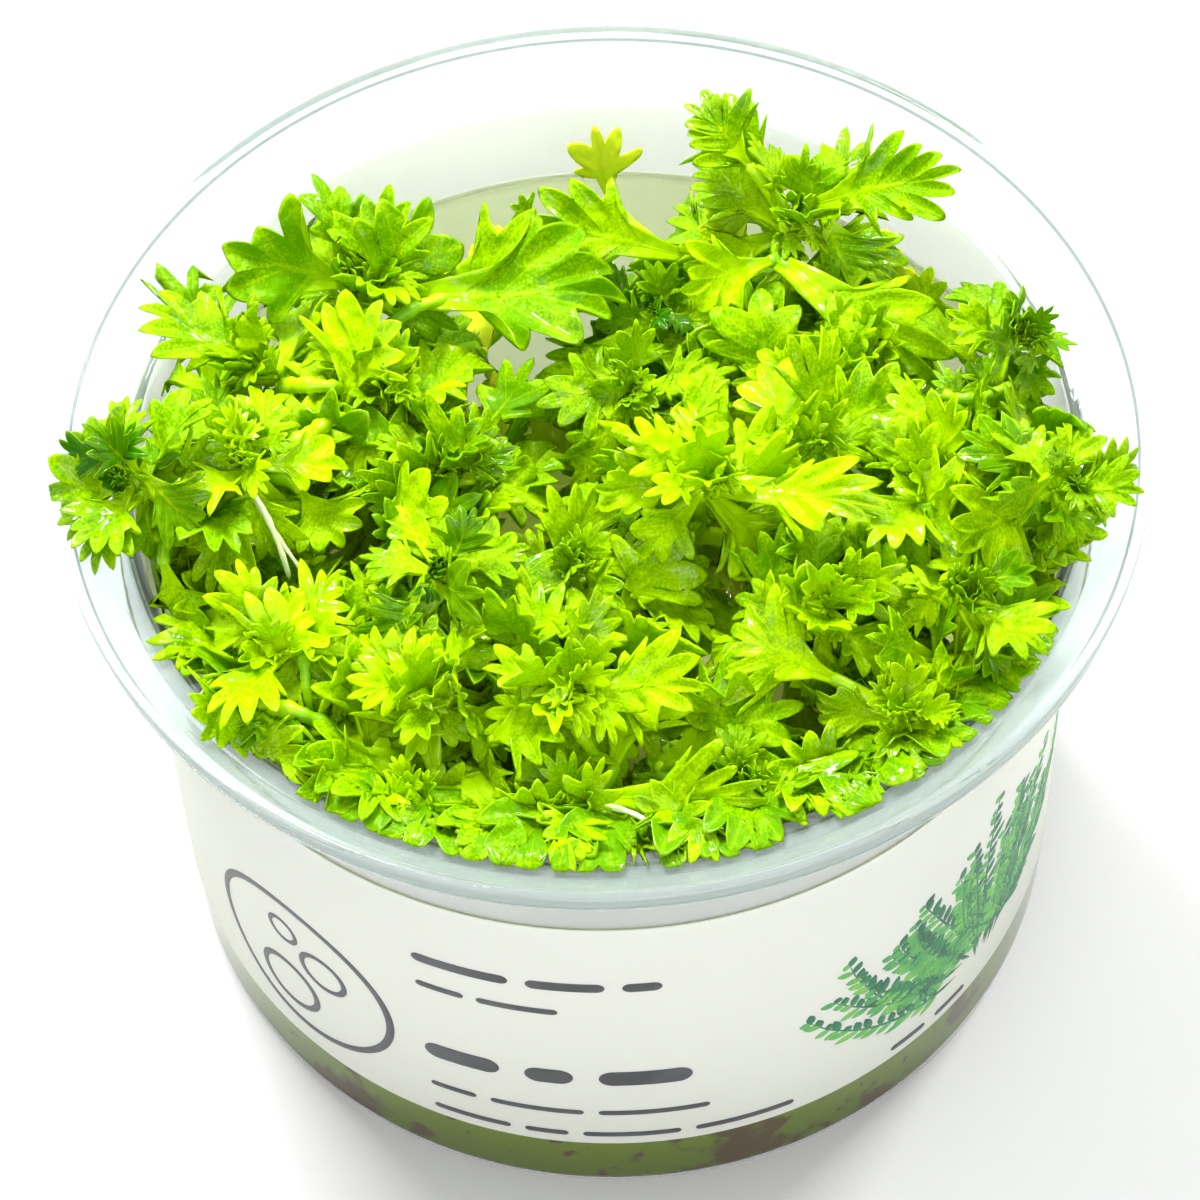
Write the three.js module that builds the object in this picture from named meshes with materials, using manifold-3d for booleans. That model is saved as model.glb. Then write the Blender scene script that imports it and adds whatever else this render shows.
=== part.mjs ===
// Water violet grown in a clear culture cup, with its growing gel and a wrap-round label.
// Millimetres, Z up. The origin is the centre of the cup's flat underside, and the front is -Y.
import * as THREE from 'three';
import { mergeVertices } from 'three/addons/utils/BufferGeometryUtils.js';
import Module from 'manifold-3d';

const wasm = await Module();
wasm.setup();

// Cup
const rimRadius = 50;
const rimHeight = 64;
const wallRadius = 44;
const wallThickness = 0.8;
const floorThickness = 0.9;
const baseFillet = 1.4;
const wallTop = 60;
const lipDrop = 1.7;
const facets = 40;

// Label
const labelBottom = 8.5;
const labelTop = 49;
const labelThickness = 0.2;
const labelGap = 0.1;
const labelSeamAngle = 2.2;
const labelSeamWidth = 0.02;

// Gel
const gelHeight = 14;
const gelGap = 0.4;
const socketDepth = 3;

// Plant
const stemRadius = 1.1;
const stemSides = 5;
const stemSteps = 4;
const rootShare = 0.7;
const rootTurn = 0.22;
const budRadius = 2.2;
const budStretch = 1.25;
const leafThickness = 0.5;
const clearance = 0.3;
const whorlLeaves = 12;
const solidLeaves = 5;
const goldenAngle = 2.39996;
const lobeStart = 0.25;
const lobeEnd = 0.75;
const lobeSweep = 0.6;
const lobeDepth = 0.5;
const leafLimit = wallRadius - wallThickness - 0.8;
const rimZone = 60.5;

// Each shoot has the centre of its top whorl, the lean of that whorl's axis and its longest leaf.
// Some also have one far-reaching leaf, given by its tip and half its width.
const shoots = [
  { at: [-42, -6, 67.5], lean: [-0.45, -0.55], leaf: 9.5, reach: [-45.5, -15, 66], width: 4 },
  { at: [40, -12, 67.5], lean: [0.45, -0.5], leaf: 9, reach: [47.5, -13.5, 68.5], width: 3.5 },
  { at: [38, 6, 65.5], lean: [0.35, -0.3], leaf: 8.5 },
  { at: [19, 22, 65], lean: [0.1, -0.3], leaf: 11, reach: [29, 16.5, 62], width: 4.5 },
  { at: [-32, -3, 65], lean: [-0.1, -0.35], leaf: 10.5, reach: [-36, -14, 60], width: 4.5 },
  { at: [9, -8, 65], lean: [0.1, -0.4], leaf: 11, reach: [25, -13.5, 68], width: 4.5 },
  { at: [31, -21, 64], lean: [0.2, -0.4], leaf: 10.5, reach: [37.5, -28.5, 66], width: 4.5 },
  { at: [-30, 10, 61], lean: [-0.45, 0.1], leaf: 11.5, reach: [-42, 14, 67.5], width: 5.5 },
  { at: [-15, -15, 63], lean: [0, -0.45], leaf: 10.5 },
  { at: [-22, 20, 60], lean: [-0.1, -0.1], leaf: 11.5 },
  { at: [6, 18, 57], lean: [0, -0.35], leaf: 9 },
  { at: [-20, 8, 60], lean: [0, -0.2], leaf: 10 },
  { at: [-14, -2, 60], lean: [0.1, -0.3], leaf: 11 },
  { at: [3, 7, 60], lean: [-0.1, -0.3], leaf: 10.5 },
  { at: [18, -3, 62], lean: [0.2, -0.3], leaf: 10.5 },
  { at: [29, -9, 63], lean: [0.2, -0.3], leaf: 10.5 },
  { at: [23, 8, 61], lean: [0.1, -0.2], leaf: 11 },
  { at: [19, -20, 62], lean: [0.1, -0.4], leaf: 10.5 },
  { at: [-29, -20, 60], lean: [-0.2, -0.35], leaf: 10.5, reach: [-34, -32, 66], width: 4.5 },
  { at: [-3, -13, 59], lean: [-0.1, -0.3], leaf: 10.5 },
  { at: [-16, -26, 60], lean: [-0.1, -0.4], leaf: 10.5 },
  { at: [-4, -26, 61], lean: [0, -0.45], leaf: 11, reach: [8, -29, 64], width: 5.5 },
  { at: [25, -31, 60], lean: [0.15, -0.4], leaf: 9 },
  { at: [11, -35, 56], lean: [0.1, -0.35], leaf: 10 },
  { at: [-4, -37, 56], lean: [0, -0.35], leaf: 9 },
  { at: [-19, -35, 57], lean: [-0.1, -0.35], leaf: 8.5 }
];

// The largest leaves, which stand out from the mass, run from their stalk's foot to their tip.
const bigLeaves = [
  { name: 'tall_leaf_left', from: [19, 24, 67.5], to: [9.5, 30, 74], width: 5, face: [0, -0.5, 0.85] },
  { name: 'tall_leaf_right', from: [20.5, 22, 67.5], to: [34, 20, 74], width: 6, face: [-0.1, -0.5, 0.85] },
  { name: 'folded_leaf', from: [-22, 19, 62.5], to: [-34, 20.5, 67], width: 6, face: [0.1, -0.7, 0.7] },
  { name: 'long_leaf', from: [-19, 18, 62], to: [3, 17, 61.5], width: 7, face: [0, -0.4, 0.9] },
  { name: 'top_leaf', from: [9, 22, 61], to: [-6, 26, 63], width: 5.5, face: [0, -0.5, 0.85] }
];

const colours = {
  cup: 0xe4ece8,
  label: 0xf4f5f2,
  gel: 0x7a8a46,
  stem: 0xb7d23c,
  whorl: 0x6fb40e,
  bigLeaf: 0x5fa60c
};

// Every mesh becomes a merged closed solid first, so that it can be joined and cut.
function solid(geometry) {
  const bare = new THREE.BufferGeometry();
  bare.setAttribute('position', geometry.getAttribute('position'));
  bare.setIndex(geometry.index);
  const merged = mergeVertices(bare, 1e-4);
  const corners = merged.index.array;
  const kept = [];
  for (let i = 0; i < corners.length; i += 3) {
    const [a, b, c] = [corners[i], corners[i + 1], corners[i + 2]];
    if (a !== b && b !== c && c !== a) {
      kept.push(a, b, c);
    }
  }
  return new wasm.Manifold(new wasm.Mesh({
    numProp: 3,
    vertProperties: Float32Array.from(merged.getAttribute('position').array),
    triVerts: Uint32Array.from(kept)
  }));
}

function geometryOf(body) {
  const mesh = body.getMesh();
  const geometry = new THREE.BufferGeometry();
  geometry.setAttribute('position', new THREE.BufferAttribute(mesh.vertProperties, 3));
  geometry.setIndex(new THREE.BufferAttribute(mesh.triVerts, 1));
  geometry.computeVertexNormals();
  return geometry;
}

function largestPart(body) {
  const parts = body.decompose();
  parts.sort((a, b) => b.volume() - a.volume());
  return parts[0];
}

function piece(name, body, colour, roughness) {
  const material = new THREE.MeshStandardMaterial({ color: colour, roughness, metalness: 0 });
  const mesh = new THREE.Mesh(geometryOf(body), material);
  mesh.name = name;
  return mesh;
}

function turned(profile) {
  const points = profile.map(([radius, height]) => new THREE.Vector2(radius, height));
  const geometry = new THREE.LatheGeometry(points, facets);
  geometry.rotateX(Math.PI / 2);
  return solid(geometry);
}

// Cup: a flat base, a straight wall and a flange that climbs in two steps to a turned-down lip.
function cupProfile(grow) {
  const inner = wallRadius - wallThickness;
  return [
    [0, -grow],
    [wallRadius - baseFillet, -grow],
    [wallRadius + grow, baseFillet],
    [wallRadius + grow, wallTop - grow],
    [wallRadius + 2.3, wallTop + 1.1 - grow],
    [rimRadius - 1.1, rimHeight - 1.1 - grow],
    [rimRadius - 0.6, rimHeight - lipDrop - grow],
    [rimRadius + grow, rimHeight - lipDrop - grow],
    [rimRadius + grow, rimHeight - 0.5],
    [rimRadius - 0.4, rimHeight + grow],
    [rimRadius - 0.9, rimHeight - 0.4 + grow],
    [wallRadius + 2.4, wallTop + 1.9 + grow],
    [wallRadius + 1.2, wallTop + 1.2 + grow],
    [inner - grow, wallTop + 0.9 + grow],
    [inner - grow, floorThickness + grow],
    [0, floorThickness + grow]
  ];
}

function flangeHeight(radius) {
  const start = wallRadius + 1.2;
  const slope = (rimHeight - wallTop - 1.6) / (rimRadius - 0.9 - start);
  return wallTop + 1.2 + Math.max(0, radius - start) * slope;
}

// Label: an open ring of film round the wall, with its seam at the back left.
function facetRadius(radius, angle) {
  const half = Math.PI / facets;
  const within = THREE.MathUtils.euclideanModulo(angle, 2 * half) - half;
  return radius * Math.cos(half) / Math.cos(within);
}

function labelBody() {
  const inner = wallRadius + labelGap;
  const outer = inner + labelThickness;
  const step = 2 * Math.PI / facets;
  const start = labelSeamAngle + labelSeamWidth / 2;
  const end = labelSeamAngle - labelSeamWidth / 2 + 2 * Math.PI;
  const angles = [start];
  for (let angle = Math.ceil(start / step) * step; angle < end; angle += step) {
    angles.push(angle);
  }
  angles.push(end);
  const ring = (radius) => angles.map((angle) => {
    const reach = facetRadius(radius, angle);
    return new THREE.Vector2(reach * Math.cos(angle), reach * Math.sin(angle));
  });
  const shape = new THREE.Shape([...ring(outer), ...ring(inner).reverse()]);
  const geometry = new THREE.ExtrudeGeometry(shape, { depth: labelTop - labelBottom, bevelEnabled: false });
  geometry.translate(0, 0, labelBottom);
  return solid(geometry);
}

// Gel: a poured disc with a slight rise at the wall and one socket for each stem.
function gelBody(roots) {
  const edge = wallRadius - wallThickness - gelGap;
  const bottom = floorThickness + gelGap;
  let gel = turned([
    [0, bottom],
    [edge - 1, bottom],
    [edge, bottom + 1],
    [edge, gelHeight + 0.6],
    [edge - 1.5, gelHeight],
    [0, gelHeight]
  ]);
  for (const root of roots) {
    const socket = new THREE.CylinderGeometry(
      stemRadius + 0.4, stemRadius + 0.4, 2 * socketDepth, stemSides);
    socket.rotateX(Math.PI / 2);
    socket.translate(root.x, root.y, gelHeight);
    gel = gel.subtract(solid(socket));
  }
  return gel;
}

// Shoots: a stem rises straight from the gel and then leans over into its whorl's axis.
function jitter(shoot, leaf, channel) {
  const wave = Math.sin(shoot * 12.9898 + leaf * 78.233 + channel * 37.719) * 43758.5453;
  return 2 * (wave - Math.floor(wave)) - 1;
}

function axisOf(shoot) {
  return new THREE.Vector3(shoot.lean[0], shoot.lean[1], 1).normalize();
}

function rootOf(shoot) {
  const root = new THREE.Vector3(shoot.at[0], shoot.at[1], 0);
  root.multiplyScalar(rootShare).applyAxisAngle(new THREE.Vector3(0, 0, 1), rootTurn);
  root.z = gelHeight - socketDepth + clearance;
  return root;
}

function stemCurve(shoot, extra) {
  const crown = new THREE.Vector3(...shoot.at);
  const axis = axisOf(shoot);
  const root = rootOf(shoot);
  const top = crown.clone().addScaledVector(axis, -budRadius * budStretch - clearance + extra);
  const knee = crown.clone().addScaledVector(axis, -14);
  const rise = new THREE.Vector3(root.x, root.y, root.z + 0.45 * (crown.z - root.z));
  return new THREE.CubicBezierCurve3(root, rise, knee, top);
}

function stemBody(shoot, grow) {
  const outline = [];
  for (let i = 0; i < stemSides; i += 1) {
    const angle = i * 2 * Math.PI / stemSides;
    const radius = stemRadius + grow;
    outline.push(new THREE.Vector2(radius * Math.cos(angle), radius * Math.sin(angle)));
  }
  return solid(new THREE.ExtrudeGeometry(new THREE.Shape(outline), {
    steps: stemSteps,
    extrudePath: stemCurve(shoot, grow / 2)
  }));
}

// A leaf near the wall or over the rim lies against it instead of passing through.
function settle(point) {
  const radius = Math.hypot(point.x, point.y);
  if (radius <= leafLimit) {
    return point;
  }
  if (point.z < rimZone) {
    point.x *= leafLimit / radius;
    point.y *= leafLimit / radius;
    return point;
  }
  point.z = Math.max(point.z, flangeHeight(radius) + leafThickness + clearance);
  return point;
}

function bladeWidth(share) {
  const stalk = 0.16;
  const widest = 0.64;
  if (share > widest) {
    const past = (share - widest) / (1 - widest);
    return Math.sqrt(Math.max(0, 1 - past * past));
  }
  return stalk + (1 - stalk) * THREE.MathUtils.smoothstep(share, 0.1, widest);
}

// A leaf is a lobed blade on an arched midrib, thickest at the midrib and thin at its edge.
function leafGeometry(leaf, grow) {
  const side = leaf.normal.clone().cross(leaf.direction);
  const corners = [];
  const triangles = [];
  const midrib = (share) => {
    const angle = leaf.bend * share;
    const along = leaf.length * Math.sin(angle) / leaf.bend;
    const drop = leaf.length * (1 - Math.cos(angle)) / leaf.bend;
    const tangent = leaf.direction.clone().multiplyScalar(Math.cos(angle));
    const up = leaf.normal.clone().multiplyScalar(Math.cos(angle));
    return {
      point: leaf.base.clone().addScaledVector(leaf.direction, along).addScaledVector(leaf.normal, -drop),
      tangent: tangent.addScaledVector(leaf.normal, -Math.sin(angle)),
      up: up.addScaledVector(leaf.direction, Math.sin(angle))
    };
  };
  const addPair = (point, up, half) => {
    for (const sign of [1, -1]) {
      corners.push(...point.clone().addScaledVector(up, sign * half).toArray());
    }
    return corners.length / 3 - 2;
  };
  const edgePoint = (share, half, sign, sweep) => {
    const { point, tangent, up } = midrib(share);
    point.addScaledVector(side, sign * (half + grow) * Math.cos(leaf.fold));
    point.addScaledVector(up, half * Math.sin(leaf.fold));
    point.addScaledVector(tangent, sweep * half + (sweep > 0 ? grow : 0));
    return addPair(settle(point), up, grow);
  };
  const middle = (share, past, half) => {
    const { point, tangent, up } = midrib(share);
    point.addScaledVector(tangent, past);
    return addPair(settle(point), up, half + grow);
  };
  // Faces are added with the top corner of each pair, and mirrored for the underside.
  const face = (a, b, c, sign) => {
    const order = sign > 0 ? [c, b, a] : [a, b, c];
    triangles.push(...order, ...order.map((corner) => corner + 1).reverse());
  };
  const rim = (a, b, sign) => {
    const order = sign > 0 ? [a, b + 1, a + 1, a, b, b + 1] : [a, a + 1, b + 1, a, b + 1, b];
    triangles.push(...order);
  };
  const sections = [0];
  for (let k = 0; k <= leaf.lobes; k += 1) {
    sections.push(lobeStart + (lobeEnd - lobeStart) * k / leaf.lobes);
  }
  const ribs = sections.map((share) => middle(share, 0, share > 0 ? leafThickness / 2 : 0));
  const tip = middle(1, grow, 0);
  for (const sign of [1, -1]) {
    const edges = sections.map((share) => {
      const lobed = share > lobeStart;
      const half = share > 0 ? leaf.width * bladeWidth(share) * (lobed ? 1 - lobeDepth : 1) : 0;
      return edgePoint(share, half, sign, lobed ? lobeSweep : 0);
    });
    const last = sections.length - 1;
    face(ribs[0], edges[0], edges[1], sign);
    face(ribs[0], edges[1], ribs[1], sign);
    rim(edges[0], edges[1], sign);
    rim(ribs[0], edges[0], sign);
    for (let k = 1; k < last; k += 1) {
      const share = (sections[k] + sections[k + 1]) / 2;
      const lobe = edgePoint(share, leaf.width * bladeWidth(share), sign, lobeSweep);
      face(ribs[k], edges[k], lobe, sign);
      face(ribs[k], lobe, edges[k + 1], sign);
      face(ribs[k], edges[k + 1], ribs[k + 1], sign);
      rim(edges[k], lobe, sign);
      rim(lobe, edges[k + 1], sign);
    }
    face(ribs[last], edges[last], tip, sign);
    rim(edges[last], tip, sign);
  }
  const geometry = new THREE.BufferGeometry();
  geometry.setAttribute('position', new THREE.Float32BufferAttribute(corners, 3));
  geometry.setIndex(triangles);
  return geometry;
}

// Leaves of a whorl climb its axis by the golden angle, the lowest ones longest and flattest.
function whorlLeaf(shoot, number, index) {
  const level = index / (whorlLeaves - 1);
  const axis = axisOf(shoot);
  const across = new THREE.Vector3(1, 0, 0).cross(axis).normalize();
  const outward = across.applyAxisAngle(axis, index * goldenAngle + number * 1.7);
  const tilt = -0.15 + 1.15 * level + 0.15 * jitter(number, index, 1);
  const size = (1 - 0.6 * level) * (1 + 0.12 * jitter(number, index, 2));
  const direction = outward.clone().multiplyScalar(Math.cos(tilt)).addScaledVector(axis, Math.sin(tilt));
  const normal = axis.clone().multiplyScalar(Math.cos(tilt)).addScaledVector(outward, -Math.sin(tilt));
  normal.applyAxisAngle(direction, 0.3 * jitter(number, index, 3));
  return {
    base: new THREE.Vector3(...shoot.at).addScaledVector(axis, 2.6 * level - 1.2),
    direction,
    normal,
    length: shoot.leaf * size,
    width: 0.42 * shoot.leaf * size,
    bend: 0.55 + 0.35 * jitter(number, index, 4),
    fold: 0.25,
    lobes: 2
  };
}

function spannedLeaf(spec) {
  const base = new THREE.Vector3(...spec.from);
  const chord = new THREE.Vector3(...spec.to).sub(base);
  const bend = 0.4;
  const span = chord.length() * bend / (2 * Math.sin(bend / 2));
  const side = new THREE.Vector3(...spec.face).cross(chord).normalize();
  const direction = chord.clone().normalize().applyAxisAngle(side, -bend / 2);
  const normal = direction.clone().cross(side);
  return { base, direction, normal, length: span, width: spec.width, bend, fold: 0.2, lobes: 3 };
}

function budBody(shoot, grow) {
  const bud = new THREE.OctahedronGeometry(budRadius + grow);
  bud.scale(1, 1, budStretch);
  const upright = new THREE.Vector3(0, 0, 1);
  bud.applyQuaternion(new THREE.Quaternion().setFromUnitVectors(upright, axisOf(shoot)));
  bud.translate(...shoot.at);
  return solid(bud);
}

function whorlBody(shoot, number, grow) {
  let whorl = budBody(shoot, grow);
  for (let index = 0; index < solidLeaves; index += 1) {
    whorl = whorl.add(solid(leafGeometry(whorlLeaf(shoot, number, index), grow)));
  }
  if (shoot.reach) {
    const face = axisOf(shoot).toArray();
    const leaf = spannedLeaf({ from: shoot.at, to: shoot.reach, width: shoot.width, face });
    whorl = whorl.add(solid(leafGeometry(leaf, grow)));
  }
  return whorl;
}

const plantInCup = new THREE.Group();
plantInCup.add(piece('cup', turned(cupProfile(0)), colours.cup, 0.2));
plantInCup.add(piece('label', labelBody(), colours.label, 0.4));
plantInCup.add(piece('gel', gelBody(shoots.map(rootOf)), colours.gel, 0.3));

// What is already placed, grown by the clearance, is cut from each piece that comes after it.
let placed = turned(cupProfile(clearance));
shoots.forEach((shoot, number) => {
  const label = String(number + 1).padStart(2, '0');
  plantInCup.add(piece(`stem_${label}`, stemBody(shoot, 0), colours.stem, 0.45));
  placed = placed.add(stemBody(shoot, clearance));
});

for (const spec of bigLeaves) {
  const leaf = spannedLeaf(spec);
  const body = largestPart(solid(leafGeometry(leaf, 0)).subtract(placed));
  plantInCup.add(piece(spec.name, body, colours.bigLeaf, 0.35));
  placed = placed.add(solid(leafGeometry(leaf, clearance)));
}

shoots.forEach((shoot, number) => {
  const label = String(number + 1).padStart(2, '0');
  const body = largestPart(whorlBody(shoot, number, 0).subtract(placed));
  plantInCup.add(piece(`whorl_${label}`, body, colours.whorl, 0.35));
  placed = placed.add(whorlBody(shoot, number, clearance));
});

export default plantInCup;
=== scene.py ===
"""Water violet grown in a clear culture cup: the cup, its label and gel, and the leafy shoots.

Sizes are millimetres until a mesh is made, Z is up, and the front is -Y.
"""
import math
from functools import partial

import bpy
import numpy as np
from mathutils import Matrix, Vector


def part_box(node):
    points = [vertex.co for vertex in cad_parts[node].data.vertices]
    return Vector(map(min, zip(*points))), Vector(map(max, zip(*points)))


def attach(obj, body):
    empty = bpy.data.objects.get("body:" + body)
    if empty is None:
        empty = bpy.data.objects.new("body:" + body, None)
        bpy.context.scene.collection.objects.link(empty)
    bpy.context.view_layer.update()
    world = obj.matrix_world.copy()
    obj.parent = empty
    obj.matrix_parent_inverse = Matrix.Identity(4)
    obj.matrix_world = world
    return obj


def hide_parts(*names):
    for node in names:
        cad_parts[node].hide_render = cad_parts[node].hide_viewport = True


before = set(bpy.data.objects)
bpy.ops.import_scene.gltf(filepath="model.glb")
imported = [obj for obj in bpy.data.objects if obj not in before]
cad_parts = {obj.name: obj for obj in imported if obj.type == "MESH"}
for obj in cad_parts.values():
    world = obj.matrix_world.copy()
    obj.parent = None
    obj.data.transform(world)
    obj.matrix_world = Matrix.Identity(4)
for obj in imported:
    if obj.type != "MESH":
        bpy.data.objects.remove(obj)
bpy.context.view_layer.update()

bl_info = {
    "name": "Water Violet Culture Cup",
    "version": (1, 0, 0),
    "blender": (4, 5, 0),
    "location": "View3D > Sidebar > Water Violet",
    "description": "Builds a tissue culture water violet in its clear cup, piece by piece",
    "category": "Add Mesh",
}

MM = 0.001


def node_box(name):
    """Lowest and highest corner of a CAD node, in millimetres."""
    return (np.array(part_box(name)) / MM).tolist()


# Sizes taken from the frame; the gel creeps up a little at the wall
GEL_CREEP = 0.6
RIM_RADIUS, _, RIM_HEIGHT = node_box("cup")[1]
LABEL_RADIUS, _, LABEL_TOP = node_box("label")[1]
LABEL_BOTTOM = node_box("label")[0][2]
GEL_TOP = node_box("gel")[1][2] - GEL_CREEP

# Sizes of the cup that the frame's boxes don't give
WALL_RADIUS = 44.0
WALL_THICKNESS = 0.8
WALL_TOP = 60.0
WALL_INSIDE = WALL_RADIUS - WALL_THICKNESS
FLOOR_THICKNESS = 0.9
LIP_DROP = 1.7

# The label's seam at the back left, as an angle round the cup, and its gap; the faces of the film
LABEL_SEAM = 2.2
LABEL_SEAM_GAP = 0.02
LABEL_STEPS = 240
LABEL_INNER = WALL_RADIUS + 0.06
LABEL_OUTER = LABEL_RADIUS - 0.08

# The plant's growth, the same as the solids'
ROOT_SHARE = 0.7
ROOT_TURN = 0.22
SOCKET_DEPTH = 3.0
SOLID_LEAVES = 5
GOLDEN_ANGLE = 2.39996
WHORL_LEAVES = 12
HEART_LEAVES = 7
STEM_LEAVES = 7
FINGERED_SHOOT = 3
WIDTH_SHARE = 0.42

# Side shoots of each stem: how many, their leaves, where they leave it and how far out they reach
SIDE_SHOOTS = 2
SIDE_LEAVES = 6
SIDE_START = 0.72
SIDE_LIMIT = 38.0

# Leaves by the wall and on its shoulder: how many, the first angle and sweep of each ring, and
# how near the cup they come
EDGE_LEAVES = 42
SHOULDER_LEAVES = 24
SHOULDER_REACH = WALL_RADIUS + 2.1
EDGE_ARC = (math.radians(172), math.radians(200))
SHOULDER_ARC = (math.radians(217), math.radians(108))
LEAF_LIMIT = WALL_INSIDE - 0.8
RIM_ZONE = 60.5
RIM_GAP = 0.6

# A single leaf's length as a share of the distance in its table
LEAF_REACH = 1.12

# Where the old leaves show through a gap between the shoots: centre and radius
OPENING = (-8.0, 16.0, 8.5)

# Each shoot: whorl centre, lean of its axis, longest leaf, tone (0 dark to 1 bright), dark heart,
# whose dark is painted shade
SHOOTS = np.array([
    (-42, -6, 67.5, -0.45, -0.55, 9.5, 0.25, 1), (40, -12, 67.5, 0.45, -0.5, 9, 0.3, 0.5),
    (38, 6, 65.5, 0.35, -0.3, 8.5, 0.3, 0.5), (19, 22, 65, 0.1, -0.3, 11, 0.4, 0.2),
    (-32, -3, 65, -0.1, -0.35, 10.5, 0.6, 0), (9, -8, 65, 0.1, -0.4, 11, 0.85, 0),
    (31, -21, 64, 0.2, -0.4, 10.5, 0.45, 0.6), (-30, 10, 61, -0.45, 0.1, 11.5, 0.45, 0.1),
    (-15, -15, 63, 0, -0.45, 10.5, 0.4, 1), (-22, 20, 60, -0.1, -0.1, 11.5, 0.35, 0.2),
    (6, 18, 57, 0, -0.35, 9, 0.15, 1), (-20, 8, 60, 0, -0.2, 10, 0.55, 0.1),
    (-14, -2, 60, 0.1, -0.3, 11, 0.35, 0.5), (3, 7, 60, -0.1, -0.3, 10.5, 0.5, 0.2),
    (18, -3, 62, 0.2, -0.3, 10.5, 0.6, 0.1), (29, -9, 63, 0.2, -0.3, 10.5, 0.65, 0.2),
    (23, 8, 61, 0.1, -0.2, 11, 0.5, 0.1), (19, -20, 62, 0.1, -0.4, 10.5, 0.6, 0.1),
    (-29, -20, 60, -0.2, -0.35, 10.5, 0.75, 0.1), (-3, -13, 59, -0.1, -0.3, 10.5, 0.55, 0.3),
    (-16, -26, 60, -0.1, -0.4, 10.5, 0.7, 0.1), (-4, -26, 61, 0, -0.45, 11, 0.7, 0.1),
    (25, -31, 60, 0.15, -0.4, 9, 0.55, 0.2), (11, -35, 56, 0.1, -0.35, 10, 0.5, 0.6),
    (-4, -37, 56, 0, -0.35, 9, 0.6, 0.1), (-19, -35, 57, -0.1, -0.35, 8.5, 0.7, 0.1),
])

CROWNS = SHOOTS[:, :3]
LEANS = SHOOTS[:, 3:5]
LONGEST, TONES, HEARTS = SHOOTS[:, 5:].T

# Every side shoot, as the number of its stem and its own on it
BRANCHES = [(number, branch) for number in range(len(SHOOTS)) for branch in range(SIDE_SHOOTS)]

# Far-reaching leaves of some shoots: shoot number, tip and half width
REACHES = np.array([
    (1, -45.5, -15, 66, 4), (2, 47.5, -13.5, 68.5, 3.5), (4, 29, 16.5, 62, 4.5), (5, -36, -14, 60, 4.5),
    (6, 25, -13.5, 68, 4.5), (7, 37.5, -28.5, 66, 4.5), (8, -42, 14, 67.5, 5.5), (19, -34, -32, 66, 4.5),
    (22, 8, -29, 64, 5.5),
])

# Large single leaves: name, foot, tip, half width, facing, tone, lobes a side, depth of the
# lobes as a share of the usual, chance
BIG_LEAVES = [
    ("tall_leaf_left", (19, 24, 67.5), (9.5, 30, 74), 5.0, (0, -0.5, 0.85), 0.3, 4, 0.95, 0.35),
    ("tall_leaf_right", (20.5, 22, 67.5), (34, 20, 74), 6.0, (-0.1, -0.5, 0.85), 0.25, 4, 0.95, -0.3),
    ("folded_leaf", (-22, 19, 62.5), (-34.5, 21, 67), 7.0, (0.1, -0.6, 0.8), 0.05, 2, 0.75, -0.7),
    ("long_leaf", (-19, 18, 62), (3, 17, 61.5), 7.5, (0, -0.4, 0.9), 0.1, 3, 0.7, -0.8),
    ("top_leaf", (9, 22, 61), (-6, 26, 63), 6.0, (0, -0.5, 0.85), 0.4, 3, 0.9, -0.2),
]

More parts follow.
